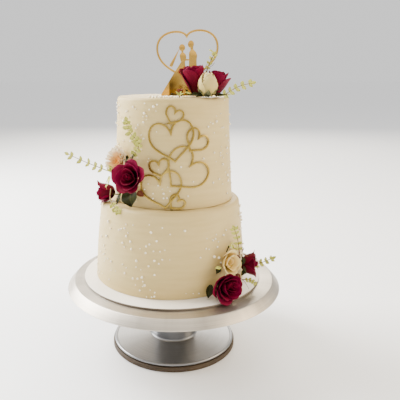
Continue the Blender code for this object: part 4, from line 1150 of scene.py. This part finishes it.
def addBlade(bm, root, heading, size, seed):  # one leaf of a sprig
    turn = frameOf(heading, sprigShape["facing"])
    addLeaf(bm, root, turn, size, seed, sprigLeaf, sprigShape["segments"])


def buildSprigs():
    s, outward, third = sprigShape, sprigShape["facing"], sprigShape["third"]
    for seed, (node, sprig) in enumerate(sprigs.items()):
        rng, extra = (random.Random(seed + first) for first in s["seeds"])
        line = smoothRoute(sprig["route"], s["perSpan"])
        blades = bmesh.new()
        blades.loops.layers.uv.new("UVMap")
        last = len(line) - 1
        leaf = [extent * share for extent, share in zip(sprig.get("leaf", s["leaf"]), s["fuller"])]
        for pair in range(sprig["pairs"]):
            share = sprig["from"] + (s["lastPair"] - sprig["from"]) * pair / (sprig["pairs"] - 1)
            here = min(int(share * last), last - 1)
            root = line[here].lerp(line[here + 1], share * last - here)
            along = (line[here + 1] - line[here]).normalized()
            across = outward.cross(along).normalized()
            for side in (-1, 1):
                heading = along * rng.uniform(*s["ahead"]) + across * side
                heading += outward * rng.uniform(*s["forward"])
                size = [extent * rng.uniform(*s["varies"]) for extent in leaf]
                addBlade(blades, root, heading, size, seed + pair)
            if sprig.get("dense"):                       # a third leaf, turned towards the front
                heading = along * third["ahead"] + outward * extra.uniform(*third["forward"])
                heading += across * extra.uniform(*third["aside"])
                size = [extent * third["size"] for extent in leaf]
                addBlade(blades, root, heading, size, seed + pair)
        heading = (line[-1] - line[-2]).normalized()
        addBlade(blades, line[-1] - heading * mm, heading, leaf, seed)
        piece = addPiece(node + "_leaves", blades, [paleLeaf], "turntable", [node],
                         sharpAngle=sheetAngle)
        thicken(piece, s["thickness"])
        addStem(node + "_stem", sprig["route"], sprig.get("stem", s["stemRadius"]), stemFinish)


def addStem(name, route, radius, finish):
    stalk = bmesh.new()
    tube(stalk, smoothRoute(route, stemShape["perSpan"]), radius)
    bmesh.ops.recalc_face_normals(stalk, faces=stalk.faces)
    addPiece(name, stalk, [finish], "turntable")


twigs = {                     # bare twigs between the flowers
    "radius": 0.4,
    "pale": [[(44.0, -29.0, 371.0), (43.3, -30.0, 393.2), (40.6, -31.0, 397.1), (42.6, -30.0, 402.3),
              (45.9, -29.0, 408.2)],
             [(-86.4, -50.0, 256.9), (-89.5, -54.0, 249.2), (-88.0, -57.0, 241.2)]],
    "dark": [[(46.1, -27.0, 403.0), (50.0, -28.0, 402.1), (53.9, -29.0, 406.8)],
             [(50.0, -27.0, 409.6), (52.2, -28.2, 409.8), (54.7, -30.0, 411.4)],
             [(66.3, -42.0, 367.4), (67.7, -48.0, 364.5), (71.7, -54.0, 361.0)],
             [(87.7, -62.0, 154.7), (85.4, -72.0, 147.4), (83.4, -82.0, 139.3), (83.8, -88.0, 128.0)],
             [(86.7, -80.0, 128.9), (93.4, -82.0, 122.9), (98.1, -84.0, 114.9)],
             [(102.9, -42.0, 143.8), (110.2, -44.0, 142.4), (115.1, -44.0, 138.1)]],
}


def buildTwigs():
    for kind, finish in (("pale", stemFinish), ("dark", twigFinish)):
        for index, route in enumerate(twigs[kind]):
            addStem(f"twig_{kind}_{index}", route, twigs["radius"], finish)


buildSprigs()
buildTwigs()
print("sprigs made")

for node in ("red_bud", "calyx"):  # shown as the CAD has them
    mesh = frame["nodes"][node].data
    mesh.materials.clear()
    mesh.materials.append(rustLeaf)


# Icing and pearls

icingShape = {                # bands, ripple and edgeWander: how far the icing strays, in millimetres
    "steps": 240, "row": 2.2, "bands": 0.28, "ripple": 0.22, "edgeWander": 0.7,
    "bandHeight": 5.0, "rippleScale": 55, "ringScale": 1.3, "wanderScale": 2.6, "edgeSteps": 7, "edgeFade": 3,
    "topRings": (0.96, 0.90, 0.82, 0.70, 0.55, 0.4, 0.25, 0.12), "seeds": {"lower": 5, "upper": 9},
}


def buildTier(tierName):
    s, tier = icingShape, tiers[tierName]
    seed = s["seeds"][tierName]
    foot, top, edge = tier["foot"], tier["top"], tier["edge"]
    rows = int((top - edge - foot) / s["row"])
    side = [foot + (top - edge - foot) * row / rows for row in range(rows)]
    inner = tierRadius(tier, top - edge) - edge
    profile = [(0, foot)] + [(tierRadius(tier, height), height) for height in side]
    profile += arc((inner, top - edge), edge, 0, 90, s["edgeSteps"])
    profile += [(inner * share, top) for share in s["topRings"]] + [(0, top)]
    bm = lathe(profile, s["steps"])
    for vert in bm.verts:
        radius, height = math.hypot(vert.co.x, vert.co.y) / mm, vert.co.z / mm
        if height <= foot or radius < 1:
            continue
        around = math.atan2(vert.co.y, vert.co.x)
        outward = Vector((vert.co.x, vert.co.y, 0)).normalized()
        ring = Vector((s["ringScale"] * math.cos(around), s["ringScale"] * math.sin(around), 0))
        bands = s["bands"] * noise.noise(ring + Vector((seed, 0, height / s["bandHeight"])))
        ripple = s["ripple"] * noise.noise(vert.co * s["rippleScale"] + Vector((0, seed, 0)))
        onSide = fade(inner - s["edgeFade"], inner + edge, radius)
        vert.co += outward * (bands + ripple) * onSide * mm
        wander = s["edgeWander"] * noise.noise(ring * s["wanderScale"] + Vector((0, 0, seed)))
        vert.co.z += fade(top - edge, top, height) * (wander - s["edgeWander"] * 0.5) * mm
    bmesh.ops.translate(bm, verts=bm.verts, vec=Vector((*tier["centre"], 0)) * mm)
    addPiece(tierName + "_icing", bm, [icing], "turntable", [tierName + "_tier"])


pearls = {                    # clusters: angle round the front in degrees, and height
    "sunk": 0.5, "clearance": 2.2, "spacing": 3.6, "inClusters": 0.72, "spread": (0.13, 9.0),
    "groupReach": 4.6, "proud": 0.6, "proudShare": 1.42, "bigRadius": (1.4, 2.0), "margin": 2, "tries": 40,
    "topSunk": 0.8, "subdivisions": 3,
    "lower": {"count": 210, "seed": 15, "radius": (0.7, 1.5),
              "clusters": [(-33, 181), (-12, 173), (-23, 147), (-22, 120), (-57, 150), (-62, 112), (29, 180),
                           (80, 190), (100, 130), (125, 170), (165, 190), (-120, 160), (-150, 130)]},
    "upper": {"count": 200, "seed": 19, "radius": (0.7, 1.4),
              "clusters": [(-27, 348), (-54, 335), (-33, 326), (-24, 234), (-7, 238), (46, 325),
                           (55, 290), (61, 250), (95, 240), (110, 330), (150, 280), (-110, 300),
                           (-150, 250), (-80, 345)]},
    "onTop": [(-22.0, -52.0, 2.0), (-15.5, -55.5, 2.0), (-9.0, -53.0, 2.0), (-2.5, -58.0, 2.0),
              (5.0, -60.5, 2.0), (-19.0, -57.0, 1.5), (-12.0, -59.5, 1.6), (-5.5, -61.0, 1.4),
              (1.5, -55.0, 1.5), (-26.5, -55.5, 1.5), (-14.0, -50.5, 1.5), (-31.0, -50.0, 1.4),
              (-7.5, -57.5, 1.2), (9.5, -63.0, 1.3), (-17.0, -60.5, 1.3)],
}


def bigPearls(tier, node):  # the places of the pearls that stand out of a CAD tier's side
    reach = pearls["groupReach"]
    groups = []
    for vert in frame["nodes"][node].data.vertices:
        x, y = vert.co.x / mm - tier["centre"][0], vert.co.y / mm - tier["centre"][1]
        height = vert.co.z / mm
        standoff = math.hypot(x, y) - tierRadius(tier, height)
        if standoff < pearls["proud"] or height > tier["top"] - tier["edge"] + pearls["margin"]:
            continue
        spot = vert.co / mm
        near = next((group for group in groups if (group["spots"][0] - spot).length < reach), None)
        if near is None:
            groups.append({"spots": [spot], "standoff": standoff})
        else:
            near["spots"].append(spot)
            near["standoff"] = max(near["standoff"], standoff)
    found = []
    for group in groups:
        middle = sum(group["spots"], Vector()) / len(group["spots"])
        around = math.atan2(middle.x - tier["centre"][0], tier["centre"][1] - middle.y)
        low, high = pearls["bigRadius"]
        radius = min(max(group["standoff"] / pearls["proudShare"], low), high)
        found.append((around, middle.z, radius))
    return found


def pearlSpots(tierName, node, avoid):  # the CAD tier's pearls, and smaller ones mostly in clusters
    p, tier = pearls[tierName], tiers[tierName]
    rng = random.Random(p["seed"])
    lowest = tier["foot"] + pearls["margin"]
    highest = tier["top"] - tier["edge"] + pearls["margin"]
    spots = bigPearls(tier, node)
    placed = [tierPoint(tier, around, height) for around, height, _ in spots]
    for _ in range(p["count"] * pearls["tries"]):
        if len(spots) >= p["count"]:
            break
        around, height = rng.uniform(-math.pi, math.pi), rng.uniform(lowest, highest)
        if rng.random() < pearls["inClusters"]:
            around, height = rng.choice(p["clusters"])
            around = math.radians(around) + rng.gauss(0, pearls["spread"][0])
            height += rng.gauss(0, pearls["spread"][1])
        if not lowest < height < highest:
            continue
        spot = tierPoint(tier, around, height)
        if avoid.find(spot * mm)[2] < pearls["clearance"] * mm:
            continue
        if any((spot - other).length < pearls["spacing"] for other in placed):
            continue
        placed.append(spot)
        spots.append((around, height, rng.uniform(*p["radius"])))
    return spots


def buildPearls(tierName, avoid):
    node = tierName + "_tier"
    bm = bmesh.new()
    tier, standing = tiers[tierName], 1 - pearls["sunk"]
    places = [(tierPoint(tier, around, height, radius * standing), radius)
              for around, height, radius in pearlSpots(tierName, node, avoid)]
    if tierName == "upper":
        places += [(Vector((x, y, tier["top"] + radius * standing * pearls["topSunk"])), radius)
                   for x, y, radius in pearls["onTop"]]
    for middle, radius in places:
        made = bmesh.ops.create_icosphere(bm, subdivisions=pearls["subdivisions"], radius=radius * mm)
        bmesh.ops.translate(bm, verts=made["verts"], vec=middle * mm)
    addPiece(tierName + "_pearls", bm, [pearlFinish], "turntable", [node])
    print(tierName, "pearls:", len(places))


def thingsOnTheCake():  # a tree of points that the pearls keep clear of
    shapes = [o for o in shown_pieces() if o.name not in ("turnplate", "base", "pad", "cakeBoard")
              and o.get("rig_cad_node") not in ("lower_tier", "upper_tier")]
    points = [vert.co for o in shapes for vert in o.data.vertices]
    tree = kdtree.KDTree(len(points))
    for index, point in enumerate(points):
        tree.insert(point, index)
    tree.balance()
    return tree


onCake = thingsOnTheCake()
for tierName in ("lower", "upper"):
    buildTier(tierName)
for tierName in ("lower", "upper"):
    buildPearls(tierName, onCake)
print("icing and pearls made")


# Floor, light and camera

studio = {
    "floorSize": 60.0, "floorDrop": 0.0002, "floor": (0.98, 0.98, 0.98), "floorRough": 0.6,
    "world": (1.0, 1.0, 1.0), "worldStrength": 1.0,
    "lights": [
        {"name": "keyLeftBack", "at": (-1.3, 0.55, 1.1), "size": (1.1, 1.3), "power": 128.0,
         "colour": (1.0, 0.995, 0.98)},
        {"name": "fillRight", "at": (1.7, -0.3, 1.0), "size": (1.2, 1.2), "power": 34.0,
         "colour": (1.0, 0.82, 0.56)},
        {"name": "backSoft", "at": (0.15, 2.4, 1.45), "size": (1.8, 0.8), "power": 60.0,
         "colour": (1.0, 0.93, 0.80)},
        {"name": "overhead", "at": (0.0, -0.3, 2.3), "size": (1.5, 1.5), "power": 16.0,
         "colour": (1.0, 0.92, 0.78)},
        {"name": "frontSoft", "at": (0.1, -1.9, 1.2), "size": (1.8, 1.2), "power": 5.0,
         "colour": (1.0, 0.84, 0.60)},
    ],
    "aim": (0, 0, 0.22),
}
camera = {"at": (0, -0.70212, 0.39023), "pitch": 9.0, "lens": 45.138, "shift": (0.0656, -0.1132)}


def buildStudio():
    bm = bmesh.new()
    bmesh.ops.create_grid(bm, x_segments=1, y_segments=1, size=studio["floorSize"] / 2)
    bmesh.ops.translate(bm, verts=bm.verts, vec=(0, 0, -studio["floorDrop"]))
    mesh = bpy.data.meshes.new("floor")
    bm.to_mesh(mesh)
    bm.free()
    look = Finish("paleFloor", roughness=studio["floorRough"])
    look.constant(BaseColor=(*studio["floor"], 1.0))
    mesh.materials.append(look.material)
    floor = bpy.data.objects.new("floor", mesh)
    bpy.context.scene.collection.objects.link(floor)
    world = bpy.data.worlds.new("softWorld")
    world.use_nodes = True
    background = world.node_tree.nodes["Background"]
    background.inputs["Color"].default_value = (*studio["world"], 1.0)
    background.inputs["Strength"].default_value = studio["worldStrength"]
    bpy.context.scene.world = world
    for light in studio["lights"]:
        data = bpy.data.lights.new(light["name"], "AREA")
        data.shape = "RECTANGLE"
        data.size, data.size_y = light["size"]
        data.energy = light["power"]
        data.color = light["colour"]
        lamp = bpy.data.objects.new(light["name"], data)
        lamp.location = light["at"]
        aim = Vector(studio["aim"]) - lamp.location
        lamp.rotation_euler = aim.to_track_quat("-Z", "Y").to_euler()
        bpy.context.scene.collection.objects.link(lamp)


def buildCamera():
    data = bpy.data.cameras.new("view")
    data.sensor_width = 36.0
    data.lens = camera["lens"]
    data.shift_x, data.shift_y = camera["shift"]
    made = bpy.data.objects.new("view", data)
    made.location = camera["at"]
    made.rotation_euler = (math.radians(90 - camera["pitch"]), 0, 0)
    bpy.context.scene.collection.objects.link(made)
    bpy.context.scene.camera = made


buildStudio()
buildCamera()
print("studio and camera made")
